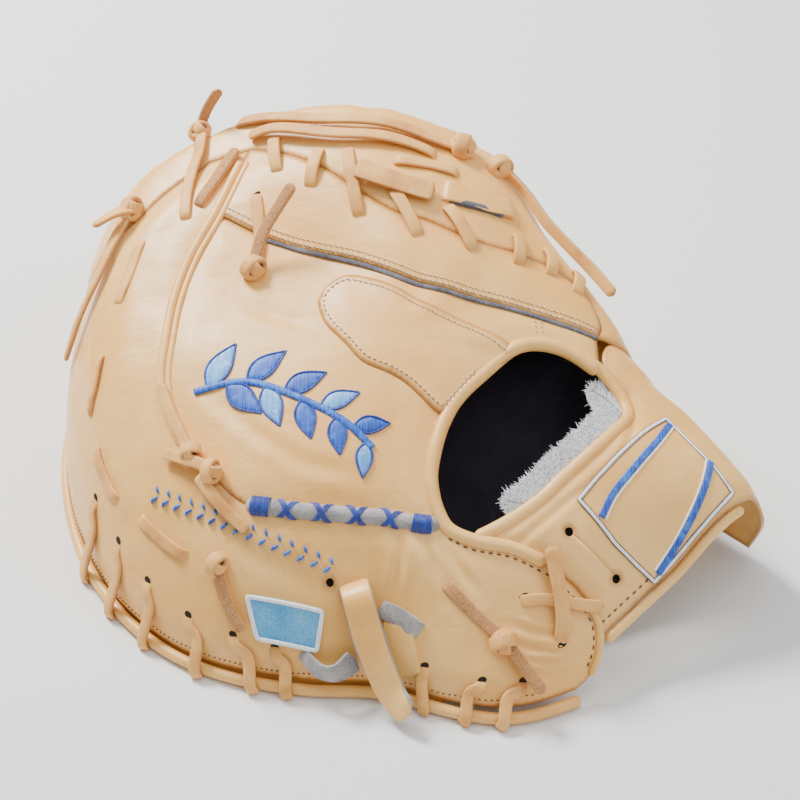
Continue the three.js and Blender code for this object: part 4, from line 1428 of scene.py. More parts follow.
@dataclass
class Back:
    """The leather panels of the back, with their pipings, rolls and stitches."""

    shop: Workshop
    step: float = 1.7 * MM

    def outlines(self) -> dict[str, np.ndarray]:
        """Flat outlines of the panels."""
        form = self.shop.form
        rim = form.flat([[a, form.level(a, ROLL_TOP)] for a in range(301, 156, -1)])
        tip = form.seam([[154.5, form.level(154.5, ROLL_TOP)], *TIP_EDGE[1:]])
        crest, crease = form.seam(CREASE_TOP), form.seam(CREASE)
        bar = form.seam([CREASE[-1], *BAR_LINE, BAR_END])
        middle, far = form.seam(MID_SEAM), form.seam(FAR_EDGE)
        heel_top = form.seam([HEEL_START, HEEL_EDGE[0]])
        heel = form.seam([*HEEL_EDGE[:6], [303, form.level(303, ROLL_TOP)]])
        wrist = form.flat([[a, form.wrist(a, STRAP_ROLL)] for a in range(310, 347)])
        foot = form.flat([[a % 360, form.level(a % 360, ROLL_TOP)] for a in range(349, 367)])
        far_rim = form.flat([[a, form.level(a, 1.2 * MM)] for a in range(8, 155)])
        palm_tip = form.seam([[154.5, form.level(154.5, 1.2 * MM)], *TIP_EDGE[1:]])
        return {
            "thumb_back": closed([rim, tip, crest, crease, bar, heel_top, heel]),
            "finger_back": closed([crease, bar, form.seam(HOLE_UPPER), middle[::-1]]),
            "finger_back_upper": closed([middle, far, crest]),
            "wrist_strap": closed([
                form.seam(STRAP_TOP), form.seam(HEEL_EDGE[:4] + [[309.6, 0.913]]), wrist, foot,
                form.seam([[6.2, 0.97], [6.5, 0.9], [7, 0.8], [3, 0.735], [357.5, 0.684]]),
            ]),
            "finger_pad": closed([form.seam([*PAD, PAD[0]])]),
            "palm_far_side": closed([palm_tip, far[::-1], form.seam([[7.7, 0.8], [7.5, 0.9]]), far_rim]),
        }

    def panels(self) -> list[Panel]:
        """The panels with their puff, folds and holes."""
        outlines = self.outlines()
        return [
            Panel(
                "thumb_back", outlines["thumb_back"], self.step, puff=1.2 * MM, uneven=0.7 * MM,
                folds=[
                    Fold(
                        [[132, 0.71], [148, 0.69], [163, 0.71], [183, 0.745], [196, 0.76]],
                        0.7 * MM, 6 * MM, 0.5,
                    ),
                    Fold([[162, 0.836], [174, 0.861], [185, 0.872], [197, 0.879]], 0.7 * MM, 4.0 * MM, 0.5),
                    Fold([[215, 0.744], [232, 0.772], [251, 0.808], [271, 0.825]], 0.6 * MM, 4.5 * MM, 0.4),
                    Fold([[294, 0.808], [297, 0.83], [301, 0.858], [305, 0.878]], 0.9 * MM, 1.5 * MM, 0.8),
                    Fold([[293, 0.848], [297, 0.876], [302, 0.905], [307, 0.918]], 1.0 * MM, 1.5 * MM, 0.8),
                    Fold([[295, 0.896], [299, 0.914], [303, 0.926], [307, 0.932]], 0.8 * MM, 1.3 * MM, 0.7),
                    Fold([[295, 0.922], [299, 0.938], [304, 0.95]], 0.7 * MM, 1.3 * MM, 0.7),
                    Fold([[270, 0.646], [271, 0.723], [269, 0.821]], 0.9 * MM, 2.4 * MM, 0.8),
                    Fold([[277, 0.619], [280, 0.698], [281, 0.774]], 1.0 * MM, 2.4 * MM, 0.8),
                    Fold([[283, 0.624], [287, 0.688], [290, 0.753]], 0.9 * MM, 2.2 * MM, 0.8),
                ],
                holes=[((253, 0.8), EYELET / 2)],
            ),
            Panel(
                "finger_back", outlines["finger_back"], self.step, puff=1.0 * MM, uneven=0.7 * MM,
                folds=[
                    Fold([[160, 0.479], [165, 0.331], [170, 0.188]], 0.5 * MM, 3.5 * MM, 0.6),
                    Fold([[188, 0.586], [206, 0.531], [232, 0.509], [259, 0.522]], 0.6 * MM, 3.5 * MM, 0.6),
                ],
            ),
            Panel(
                "finger_back_upper", outlines["finger_back_upper"], self.step, lift=0.7 * MM,
                puff=0.9 * MM, uneven=0.5 * MM,
                folds=[Fold([[15, 0.628], [5, 0.582]], 0.8 * MM, 1.8 * MM, 0.8)],
            ),
            Panel(
                "wrist_strap", outlines["wrist_strap"], self.step, puff=1.4 * MM, puff_width=10 * MM,
                uneven=0.5 * MM,
                folds=[
                    Fold(
                        [[298, 0.665], [310, 0.635], [323, 0.585], [336, 0.555], [347, 0.62]],
                        0.9 * MM, 1.8 * MM, 0.4,
                    ),
                    Fold([[314, 0.86], [328, 0.83], [340, 0.8]], 0.5 * MM, 2.2 * MM, 0.5),
                ],
                holes=[((315, 0.669), EYELET / 2), ((318, 0.791), EYELET / 2)],
            ),
            Panel(
                "finger_pad", outlines["finger_pad"], self.step, lift=GAP + LEATHER * 0.85,
                puff=0.9 * MM, roll_off=1.3 * MM, roll_width=2.6 * MM, uneven=0.35 * MM,
            ),
        ]

    def build(self) -> None:
        """Builds the panels, the far wall, and every seam's piping and stitches."""
        form = self.shop.form
        pieces = []
        for panel in self.panels():
            pieces.append(self.shop.dress(panel.build(form), Finish.LEATHER, panel.name))
        self.shop.settle(pieces)
        wall = Panel(
            "palm_far_side", self.outlines()["palm_far_side"], 2.0 * MM, thick=2.2 * MM,
            puff=0.8 * MM, uneven=0.9 * MM, roll_off=1.4 * MM,
            folds=[
                Fold([[34, 0.86], [36, 0.93], [37, 0.985]], 0.9 * MM, 5 * MM, 0.5),
                Fold([[68, 0.7], [71, 0.85], [70, 0.97]], 1.1 * MM, 6 * MM, 0.6),
                Fold([[99, 0.72], [97, 0.86], [100, 0.975]], 0.9 * MM, 5 * MM, 0.6),
                Fold([[128, 0.86], [126, 0.93], [129, 0.985]], 1.0 * MM, 5 * MM, 0.5),
            ],
        ).build(form)
        self.shop.dress(wall, Finish.LEATHER, "palm_far_side")
        self.rolls()
        self.seams()

    def rolls(self) -> None:
        """The hole's binding, the pipings, the strap's rolled edges and the rim."""
        form = self.shop.form
        binding = [*HOLE_UPPER[::-1], *BINDING_HEEL]
        crease = [[126, 0.705], CREASE_TOP[1], *CREASE]
        strap_high = [[1.5, 0.61], [357.5, 0.672], [352, 0.662], [348, 0.612], *STRAP_TOP[1:]]
        strap_low = [[a, form.wrist(a, STRAP_ROLL / 2)] for a in STRAP_ANGLES]
        rolls = (
            ("hole_binding", binding, 0.0, -0.4 * MM, HOLE_ROLL, 1.0, ["hole_binding"]),
            ("crease_piping", crease, -0.6 * MM, 0.5 * MM, PIPING * 1.6, 0.85, ["crease_piping"]),
            ("crease_inner_roll", crease, 3.0 * MM, 0.6 * MM, 2.8 * MM, 0.8, []),
            ("heel_piping", HEEL_EDGE[2:-1], 0.0, 0.5 * MM, PIPING * 1.3, 1.0, ["heel_piping"]),
            ("strap_edge_roll", strap_low, 0.0, -STRAP_ROLL / 3, STRAP_ROLL * 1.1, 1.0, ["strap_edge_roll"]),
            ("strap_upper_roll", strap_high, 0.0, -0.6 * MM, 5.8 * MM, 0.75, []),
        )
        for k, (name, places, aside, lift, size, flat, nodes) in enumerate(rolls):
            points, ups = form.on(beside(form.seam(places, 1.2 * MM), aside), lift)
            grow = 1 + 0.05 * ripple(points, 9 * MM, k) + 0.04 * ripple(points, 30 * MM, k + 5)
            corners = Section.ROUND.corners(size, size * flat)
            roll = sweep(name, points, ups, corners, rounded(points, grow, size))
            self.shop.dress(roll, Finish.LEATHER, *nodes)
        corners = Section.ROUND.corners(RIM_ROLL, RIM_ROLL)
        for name, (start, stop), out in (
            ("rim_roll_near", NEAR_RIM, 0.4 * MM), ("rim_roll_far", FAR_RIM, RIM_ROLL / 2 + GAP + 0.6 * MM),
        ):
            angles = np.arange(start, stop + 0.1, 0.5)
            points = even_steps(form.beyond(angles, out, RIM_ROLL / 2 + 0.2 * MM), 1.4 * MM)
            ups = np.tile([0.0, 0.0, 1.0], (len(points), 1))
            grow = rounded(points, 1 + 0.05 * ripple(points, 18 * MM, 2.0), RIM_ROLL)
            self.shop.dress(sweep(name, points, ups, corners, grow), Finish.LEATHER, name)

    def seams(self) -> None:
        """Stitches along the seams, and the felt that shows under the double seam."""
        form = self.shop.form
        fine = {"length": 1.7 * MM, "apart": 1.0 * MM, "thick": 0.85 * MM}
        under = {"length": 2.7 * MM, "apart": 0.0, "thick": 0.45 * MM, "lift": 0.05 * MM}
        tack = [[13, 0.55], [4, 0.51]]
        lines = [(MID_SEAM, 1.9 * MM), (MID_SEAM, 4.4 * MM), ([*PAD[9:], *PAD[:9]], -3.0 * MM)]
        brown = [StitchRow(places, aside=aside, **under) for places, aside in lines]
        lines += [(tack, 1.4 * MM), (tack, -1.4 * MM)]
        cream = [StitchRow(places, aside=aside, **fine) for places, aside in lines]
        rim = [[a, form.level(a, 9.5 * MM)] for a in range(160, 302, 8)]
        brown += [
            StitchRow(BINDING_HEEL, aside=-4.2 * MM),
            StitchRow(HEEL_EDGE[1:6], aside=-3.4 * MM),
            StitchRow([[a, form.wrist(a, STRAP_ROLL + 3.4 * MM)] for a in STRAP_ANGLES]),
            StitchRow(rim, length=1.8 * MM, thick=0.6 * MM),
        ]
        self.shop.dress(self.shop.stitches("cream_stitches", cream), Finish.CREAM)
        self.shop.dress(self.shop.stitches("brown_stitches", brown), Finish.BROWN)
        points, ups = form.on(beside(form.seam(MID_SEAM[1:], 1.2 * MM), -1.2 * MM), 0.45 * MM)
        corners = Section.LACE.corners(2.1 * MM, 1.3 * MM)
        felt = sweep("seam_felt", points, ups, corners, 1 + 0.1 * ripple(points, 8 * MM))
        self.shop.dress(felt, Finish.DARK_FELT)


def rounded(points: np.ndarray, grow: np.ndarray, size: float) -> np.ndarray:
    """Draws a roll's ends in to a rounded tip.

    Args:
        points: Points along the roll.
        grow: Its size at each point, as a share.
        size: Its diameter.

    Returns:
        The new shares.
    """
    lengths = along(points)
    end = np.minimum(lengths, lengths[-1] - lengths)
    near = np.clip(end / (size / 2), 0, 1)
    return grow * np.sqrt(np.clip(1 - (1 - near) ** 2, 0.06, 1))


def cut_away(piece: bpy.types.Object, planes: Sequence[tuple[Sequence[float], Sequence[float]]]) -> None:
    """Cuts off what lies beyond each plane, and closes the cuts.

    Args:
        piece: The piece.
        planes: A point and the outward normal of each plane.
    """
    select_only(piece)
    bpy.ops.object.mode_set(mode="EDIT")
    for place, normal in planes:
        bpy.ops.mesh.select_all(action="SELECT")
        bpy.ops.mesh.bisect(plane_co=place, plane_no=normal, use_fill=True, clear_outer=True)
    bpy.ops.object.mode_set(mode="OBJECT")


@dataclass
class Palm:
    """The padded palm under the hand, and the linings that show in the hand hole."""

    shop: Workshop
    spokes: int = 144
    rings: int = 40
    draws: int = 90000
    fibres: int = 10500
    pile_reach: float = 13 * MM
    pile_spread: float = 0.35
    pile_lengths: tuple[float, float] = (1.0, 2.4)
    pile_radii: tuple[float, ...] = (0.15, 0.15, 0.12, 0.05)

    def build(self) -> None:
        """Builds the padded bowl, the lining and the fleece."""
        form = self.shop.form
        wrist = math.radians(WRIST_ANGLE)
        way = Vector((math.cos(wrist), math.sin(wrist), 0))
        cut = Vector(form.crown) + way * (WRIST_DISTANCE - WRIST_STEP)
        bowl = self.bowl()
        cut_away(bowl, [((0, 0, 0), (0, 0, -1)), (cut, way)])
        bpy.ops.object.shade_smooth_by_angle(angle=math.radians(50))
        self.shop.dress(bowl, Finish.LEATHER, "palm_shell")
        lining = Panel(
            "hand_lining", closed([form.seam([*LINING_EDGE, LINING_EDGE[0]])]), 2.4 * MM,
            lift=GAP + 1.4 * MM, thick=1.2 * MM, uneven=0.8 * MM, puff=0.8 * MM,
        ).build(form, form.palm_top)
        cut_away(lining, [(cut, way)])
        self.shop.dress(lining, Finish.LINING, "hand_lining")
        self.fleece()

    def bowl(self) -> bpy.types.Object:
        """The palm's upper face, its walls and its pocket, as one closed body."""
        form = self.shop.form
        shares = 1 - (1 - np.linspace(0, 1, self.rings)) ** 1.4
        angles = np.arange(self.spokes) * 360 / self.spokes
        feet = form.feet(angles)
        pull = ((feet - PALM_INSET) / feet)[:, None]
        top = []
        pocket = []
        for share in shares[1:]:
            points, _ = form.palm_top(form.flat([[a, share] for a in angles]))
            top.append(points)
            low = points.copy()
            low[:, :2] = (low[:, :2] - form.crown[:2]) * pull + form.crown[:2]
            low[:, 2] -= PALM_PAD + 0.8 * MM * ripple(low, 30 * MM)
            pocket.append(low)
        down = [top[-1].copy(), pocket[-1].copy()]
        for ring in down:
            ring[:, 2] = LOWEST_PALM
        rings = [*top, *down, *pocket[::-1]]
        centre = form.palm_top(np.array([[1e-5, 0.0]]))[0][0]
        verts = [centre, *np.concatenate(rings), centre - [0, 0, PALM_PAD]]
        count = self.spokes
        faces = [[0, 1 + k, 1 + (k + 1) % count] for k in range(count)]
        for a in range(1, 1 + (len(rings) - 1) * count, count):
            b = a + count
            faces += [[a + k, b + k, b + (k + 1) % count, a + (k + 1) % count] for k in range(count)]
        last = 1 + (len(rings) - 1) * count
        faces += [[last + (k + 1) % count, last + k, len(verts) - 1] for k in range(count)]
        return new_mesh("palm_shell", np.array(verts), faces)

    def fleece(self) -> None:
        """The strap's fleece, with a pile that stands out at its edges."""
        form = self.shop.form
        ring = closed([form.seam([*FLEECE_EDGE, FLEECE_EDGE[0]])])
        base = Panel(
            "strap_fleece", ring, 1.8 * MM, lift=-LEATHER - GAP + 0.4 * MM, thick=FLEECE - 0.6 * MM,
            roll_off=1.6 * MM, roll_width=4 * MM, uneven=0.9 * MM,
        ).build(form)
        self.shop.dress(base, Finish.FLEECE, "strap_fleece")
        chance = np.random.default_rng(11)
        spots = chance.uniform(ring.min(axis=0), ring.max(axis=0), (self.draws, 2))
        spots = spots[inside(spots, ring)]
        spots = spots[distance(spots, form.seam(FLEECE_EDGE[:7])) < self.pile_reach][:self.fibres]
        fine = even_steps(np.concatenate([ring, ring[:1]]), 0.2 * MM)
        nearest = np.array([fine[np.argmin(np.sum((fine - spot) ** 2, axis=1))] for spot in spots])
        way = unit(nearest - spots)
        way += chance.normal(0, self.pile_spread, way.shape)
        length = chance.uniform(*self.pile_lengths, len(spots)) * MM
        floor = -LEATHER - GAP - 0.4 * MM
        _, up = form.on(spots, floor)
        curves = []
        for t in (0.0, 0.35, 0.7, 1.0):
            rise = floor + (2.6 * t - 1.9 * t * t) * 2.2 * MM
            curves.append(form.on(spots + way * (length * t)[:, None], rise)[0])
        lines = np.stack(curves, axis=1)
        across = unit(np.cross(lines[:, -1] - lines[:, 0], up))
        radii = np.array(self.pile_radii) * MM
        corners = [across, -0.5 * across + 0.87 * up, -0.5 * across - 0.87 * up]
        tubes = np.stack([lines + corner[:, None] * radii[None, :, None] for corner in corners], axis=2)
        faces = [face for k in range(len(tubes)) for face in tube_faces(4, 3, 12 * k, has_caps=False)]
        self.shop.dress(new_mesh("fleece_pile", tubes.reshape(-1, 3), faces), Finish.FLEECE)


LINING_EDGE = [
    [300, 0.15], [350, 0.12], [16, 0.34], [18, 0.56], [12, 0.72], [354, 0.8], [338, 0.74],
    [322, 0.8], [308, 0.8], [298, 0.68], [282, 0.62], [274, 0.38],
]
FLEECE_EDGE = [
    [355, 0.66], [352, 0.56], [345, 0.49], [337, 0.445], [325, 0.47], [314, 0.51], [305, 0.545],
    [309, 0.7], [314, 0.86], [322, 0.855], [330, 0.82], [340, 0.8], [348, 0.8], [352, 0.76],
]


@dataclass
class CrotchBar:
    """The felt roll between thumb and fingers, wound with crossing threads."""

    shop: Workshop
    pitch: float = 15 * MM
    thread: float = 0.7 * MM
    band: int = 4
    tight: float = 8 * MM
    margins: tuple[float, float] = (3 * MM, 4 * MM)

    def build(self) -> None:
        """Builds the felt core and its windings."""
        points, ups = self.shop.line([*BAR_LINE, BAR_END], -0.6 * MM, 0.6 * MM)
        grow = rounded(points, np.ones(len(points)), BAR_ROLL)
        core = sweep("crotch_bar", points, ups, Section.ROUND.corners(BAR_ROLL, BAR_ROLL), grow)
        self.shop.dress(core, Finish.FELT, "crotch_bar")
        line = (points, np.cross(headings(points), ups), ups)
        start, stop = self.margins[0], along(points)[-1] - self.margins[1]
        pieces = []
        for hand in (1, -1):
            for k in range(self.band):
                marks = np.arange(start, stop, 0.6 * MM)
                phase = (k - self.band / 2) * self.thread * 2 * math.pi / self.pitch
                turns = hand * (2 * math.pi * marks / self.pitch) + phase + (math.pi if hand < 0 else 0.0)
                lift = BAR_ROLL / 2 + (0.05 if hand > 0 else 0.4) * MM
                pieces.append(self.winding(f"winding_{hand}_{k}", line, marks, turns, lift))
        for k, first in enumerate((start, stop - self.tight)):
            marks = np.arange(first, first + self.tight, self.thread / 22)
            turns = 2 * math.pi * (marks - first) / (self.thread * 0.98)
            pieces.append(self.winding(f"binding_{k}", line, marks, turns, BAR_ROLL / 2 + 0.55 * MM))
        self.shop.dress(join("bar_windings", pieces), Finish.NAVY)

    def winding(
        self, name: str, line: Sequence[np.ndarray], marks: np.ndarray, turns: np.ndarray, radius: float,
    ) -> bpy.types.Object:
        """One thread wound round the roll.

        Args:
            name: The piece's name.
            line: The roll's middle line, with the sideways and upward direction at each point.
            marks: Where the thread is, along the roll.
            turns: Its turn round the roll there, in radians.
            radius: Its distance from the middle line.

        Returns:
            The thread.
        """
        points, side, ups = (at(marks, along(line[0]), table) for table in line)
        out = side * np.cos(turns)[:, None] + ups * np.sin(turns)[:, None]
        sides = np.arange(6) * math.pi / 3
        corners = np.stack([np.cos(sides), np.sin(sides)], axis=1) * self.thread / 2
        return sweep(name, points + out * radius, out, corners)


@dataclass
class Laces:
    """Every lace, loop, knot, band and strap."""

    shop: Workshop

    def build(self) -> None:
        """Builds the loops over both rims, then the laces with their knots."""
        for k, row in enumerate(NEAR_LOOPS):
            self.near_loop(f"near_loop_{k + 1}", row, k)
        for k, (start, stop) in enumerate(FAR_LOOPS):
            self.far_loop(f"far_loop_{k + 1}", start, stop, k)
        for k, (name, lace) in enumerate(LACES.items()):
            last = len(lace.runs) - 1
            pieces = [
                self.shop.strip(
                    f"{name}_run_{j}", run, lace.width, lace.section, lace.is_suede and j == last,
                    lace.turn, lace.taper, lace.tip, k + 0.4 * j,
                ) for j, run in enumerate(lace.runs)
            ]
            pieces += [self.shop.knot(f"{name}_knot_{j}", knot) for j, knot in enumerate(lace.knots)]
            self.shop.dress(join(name, pieces), lace.finish, name)
        self.tab_felt()
        backing = [[angle, share, layer - 0.36] for angle, share, layer in LACES["thumb_strap"].runs[0]]
        behind = [[270.5, 0.856, 0.1], [271, 0.9, 0.3], [272.5, 0.955, 0.06]]
        for name, places, width, finish in (
            ("strap_backing", backing, STRAP_WIDTH + 0.7 * MM, Finish.FELT),
            ("strap_behind", behind, STRAP_WIDTH, Finish.LEATHER),
        ):
            self.shop.dress(self.shop.strip(name, places, width, Section.STRAP), finish)

    def tab_felt(self) -> None:
        """The felt that shows along the tab's inner edge."""
        points, ups = self.shop.line([[71, 0.52], [65, 0.543], [58, 0.612], [52.5, 0.69]], 1.3 * MM)
        grow = rounded(points, 1 + 0.12 * ripple(points, 6 * MM), 4 * MM)
        felt = sweep("tab_felt", points, ups, Section.LACE.corners(3.6 * MM, 2.4 * MM), grow)
        self.shop.dress(felt, Finish.DARK_FELT)

    def loop(self, name: str, stops: Sequence[np.ndarray], wide: float, uneven: float, seed: int) -> None:
        """A short lace through a few points over the leather.

        Args:
            name: The loop's name.
            stops: The points.
            wide: Its width, as a share of LACE_WIDTH.
            uneven: How much its size varies, as a share.
            seed: Pattern of its unevenness.
        """
        points = even_steps(catmull(np.array(stops), 8), LOOP_STEP)
        grow = rounded(points, 1 + uneven * ripple(points, LOOP_WAVE, seed), LACE_WIDTH)
        corners = Section.LACE.corners(LACE_WIDTH * wide, LACE_THICK)
        piece = sweep(name, points, self.shop.form.outward(points), corners, grow)
        self.shop.dress(piece, Finish.LACE, name)

    def near_loop(self, name: str, row: Sequence[float], seed: int) -> None:
        """A whip lace from the near panel over the rolled rim.

        Args:
            name: The loop's name.
            row: Spoke angle and share of its upper end, and how far round its lower end is.
            seed: Pattern of its unevenness.
        """
        angle, top, slant = row
        foot = angle + slant
        upper, _ = self.shop.form.skin([
            [angle - 0.15 * slant, top - 0.02, -1.0 * MM], [angle, top, ON_SKIN],
            [angle + slant / 2, (top + 0.975) / 2, ON_SKIN + 0.5 * MM],
        ])
        out = 0.4 * MM + RIM_ROLL / 2 + 0.5 * MM + LACE_THICK / 2
        heights = np.array([0.85, 0.32, 0.12]) * RIM_ROLL
        lower = self.shop.form.beyond([angle + 0.9 * slant, foot, foot], [out, out, out - 2 * MM], heights)
        self.loop(name, [*upper, *lower], 1.0, 0.06, seed)

    def far_loop(self, name: str, start: Sequence[float], stop: Sequence[float], seed: int) -> None:
        """A whip lace over the far seam.

        Args:
            name: The loop's name.
            start: One end, as spoke angle and share.
            stop: The other end.
            seed: Pattern of its unevenness.
        """
        form = self.shop.form
        ends, normals = form.skin([[*start, ON_SKIN], [*stop, ON_SKIN]])
        way = unit(ends[1] - ends[0])
        middle = ends.mean(axis=0)
        middle = middle + form.outward(middle[None])[0] * (ON_SKIN + 1 * MM)
        first = ends[0] - way * 1.4 * MM - normals[0] * (ON_SKIN + 1 * MM)
        last = ends[1] + way * 1.4 * MM - normals[1] * (ON_SKIN + 1 * MM)
        self.loop(name, [first, ends[0], middle, ends[1], last], 1.08, 0.07, seed)


@dataclass(frozen=True)
class LaceRun:
    """One lace: its runs of [spoke angle, share, layer], and its knots."""

    runs: Sequence[Places]
    knots: Places = ()
    width: float = LACE_WIDTH
    section: Section = Section.LACE
    is_suede: bool = False
    turn: float = 0.0
    taper: float = 1.0
    tip: float = 0.9
    finish: Finish = Finish.LACE


LACES = {
    "ridge_lace_upper": LaceRun([[
        [121, 0.855, 0.06], [117, 0.835, 0.8], [108, 0.762, 1.55], [94, 0.756, 1.55],
        [80, 0.745, 1], [71, 0.765, 0.06],
    ]], [[73.5, 0.762, 1, 1.2, 1.2]]),
    "ridge_lace_lower": LaceRun([[
        [121.5, 0.785, 0.4], [117, 0.765, 1.55], [107, 0.697, 1.55], [92, 0.7, 1], [80, 0.687, 0.06],
    ]]),
    "ridge_flat_end": LaceRun([[[90, 0.62, 0.06], [80, 0.625, 0.15], [72, 0.635, 0.06]]]),
    "ridge_band": LaceRun(
        [[[103, 0.56, 1.4], [95, 0.535, 1.3], [85, 0.515, 1.1], [76, 0.51, 1.1]]],
        width=1.7 * LACE_WIDTH, section=Section.STRAP, tip=0.4,
    ),
    "ridge_tab": LaceRun(
        [[[72, 0.545, 0.06], [66, 0.57, 0.06], [58, 0.645, 0.06], [53, 0.735, 0.06]]],
        width=2 * LACE_WIDTH, section=Section.STRAP, tip=0.3, finish=Finish.LEATHER,
    ),
    "tip_lace": LaceRun(
        [
            [[127, 0.88, 1], [125, 0.87, 4.1], [122, 0.86, 7.3]],
            [[127, 0.86, 1], [130, 0.8, 0.76], [134, 0.75, 0.53], [139, 0.7, 0.3], [143, 0.668, 0.06]],
        ],
        [[127, 0.87, 1.2, 1, 0.3]],
    ),
    "tip_suede_end": LaceRun([[[125, 0.75, 0.53], [132, 0.685, 0.3], [139, 0.655, 0.06]]], is_suede=True),
    "web_lace": LaceRun(
        [
            [[146, 0.83, 0.5], [152, 0.845, 1], [158, 0.865, 1.2], [163, 0.9, 1.4], [167, 0.945, 1.4]],
            [[145, 0.81, 0.5], [147, 0.83, 3], [150, 0.865, 4.5]],
        ],
        [[145, 0.825, 0.7, 1.1, 1]],
    ),
    "web_slot_lace": LaceRun([[[151, 0.765, 0.02], [157, 0.78, 0.06], [163, 0.8, 0.02]]]),
    "ridge_free_end": LaceRun(
        [[
            [63, 0.805, 1], [56, 0.825, 1.3], [47, 0.848, 1.7], [38, 0.862, 2.1], [29, 0.872, 2.5],
            [21, 0.878, 2.8],
        ]],
        [[63.5, 0.8, 0.8, 1.14, 0.4]], turn=1.0, is_suede=True,
    ),
    "crease_lace": LaceRun(
        [
            [[186, 0.692, 0.76], [193, 0.688, 0.76], [200, 0.684, 0.85], [206, 0.684, 1.4]],
            [[216, 0.662, 1.4], [209, 0.69, 1.8], [201, 0.744, 1]],
            [[212, 0.704, 1.4], [221, 0.716, 1], [230, 0.735, 0.4]],
        ],
        [[206, 0.684, 1.4, 0.9, 0], [214, 0.675, 1.4, 1, 1.2]],
    ),
    "standing_lace": LaceRun(
        [
            [[130, 0.56, 0.02], [139, 0.45, 0.2], [148, 0.425, 1]],
            [[148, 0.425, 1.4], [139, 0.43, 4], [129, 0.45, 6.4], [121, 0.485, 8.2]],
        ],
        [[148, 0.425, 1.2, 1.1, 0.6]], is_suede=True,
    ),
    "slot_lace_1": LaceRun(
        [[[174, 0.852, 0.02], [178, 0.875, 0.02], [182, 0.9, 0.02]]], width=0.55 * LACE_WIDTH,
    ),
    "slot_lace_2": LaceRun([[[189, 0.905, 0.02], [194, 0.905, 0.14], [199, 0.9, 0.02]]]),
    "slot_lace_3": LaceRun([[[207, 0.872, 0.02], [213, 0.862, 0.14], [219, 0.852, 0.02]]]),
    "thumb_lace": LaceRun(
        [[[225, 0.81, 0.02], [228, 0.837, 0.6], [232, 0.88, 1], [237, 0.925, 1]]],
        [[227, 0.825, 1, 1, 0.8]], is_suede=True,
    ),
    "heel_lace": LaceRun(
        [[
            [283, 0.735, 0.02], [288, 0.788, 0.1], [292, 0.84, 0.6], [294, 0.9, 1.6], [296, 0.96, 2.8],
        ]],
        [[292, 0.847, 1.16, 1.1, 0.2]], is_suede=True,
    ),
    "cross_lace_under": LaceRun([[
        [299, 0.777, 0.06], [303, 0.79, 0.4], [307, 0.812, 0.85], [310, 0.828, 0.96], [313, 0.84, 0.85],
    ]]),
    "cross_lace_over": LaceRun(
        [[
            [309, 0.69, 1.9], [307.5, 0.745, 1.9], [306, 0.8, 1.95], [304.5, 0.85, 1.3], [303, 0.885, 0.06],
        ]],
        width=1.2 * LACE_WIDTH,
    ),
    "thumb_strap": LaceRun(
        [[
            [259, 0.8, 0.14], [260, 0.82, 2.6], [263, 0.885, 3], [267, 0.945, 3.4], [271, 0.98, 4.1],
            [275, 0.99, 6.1],
        ]],
        width=STRAP_WIDTH, section=Section.STRAP, finish=Finish.LEATHER,
    ),
    "thumb_strap_run": LaceRun(
        [[[250, 0.945, 0.1], [254, 0.962, 2.2], [257, 0.962, 2.6], [261, 0.945, 1]]],
        width=0.8 * STRAP_WIDTH, section=Section.STRAP, taper=0.45, tip=0.35, finish=Finish.FELT,
    ),
    "thumb_felt_fold": LaceRun(
        [[[267, 0.845, 0.1], [271, 0.85, 0.3], [275, 0.862, 0.1]]],
        width=0.6 * STRAP_WIDTH, section=Section.STRAP, finish=Finish.FELT,
    ),
}


EYELETS = ((315, 0.669), (318, 0.791), (253, 0.8))
SLITS = ((299.3, 0.768), (302.9, 0.893), (129.8, 0.566))


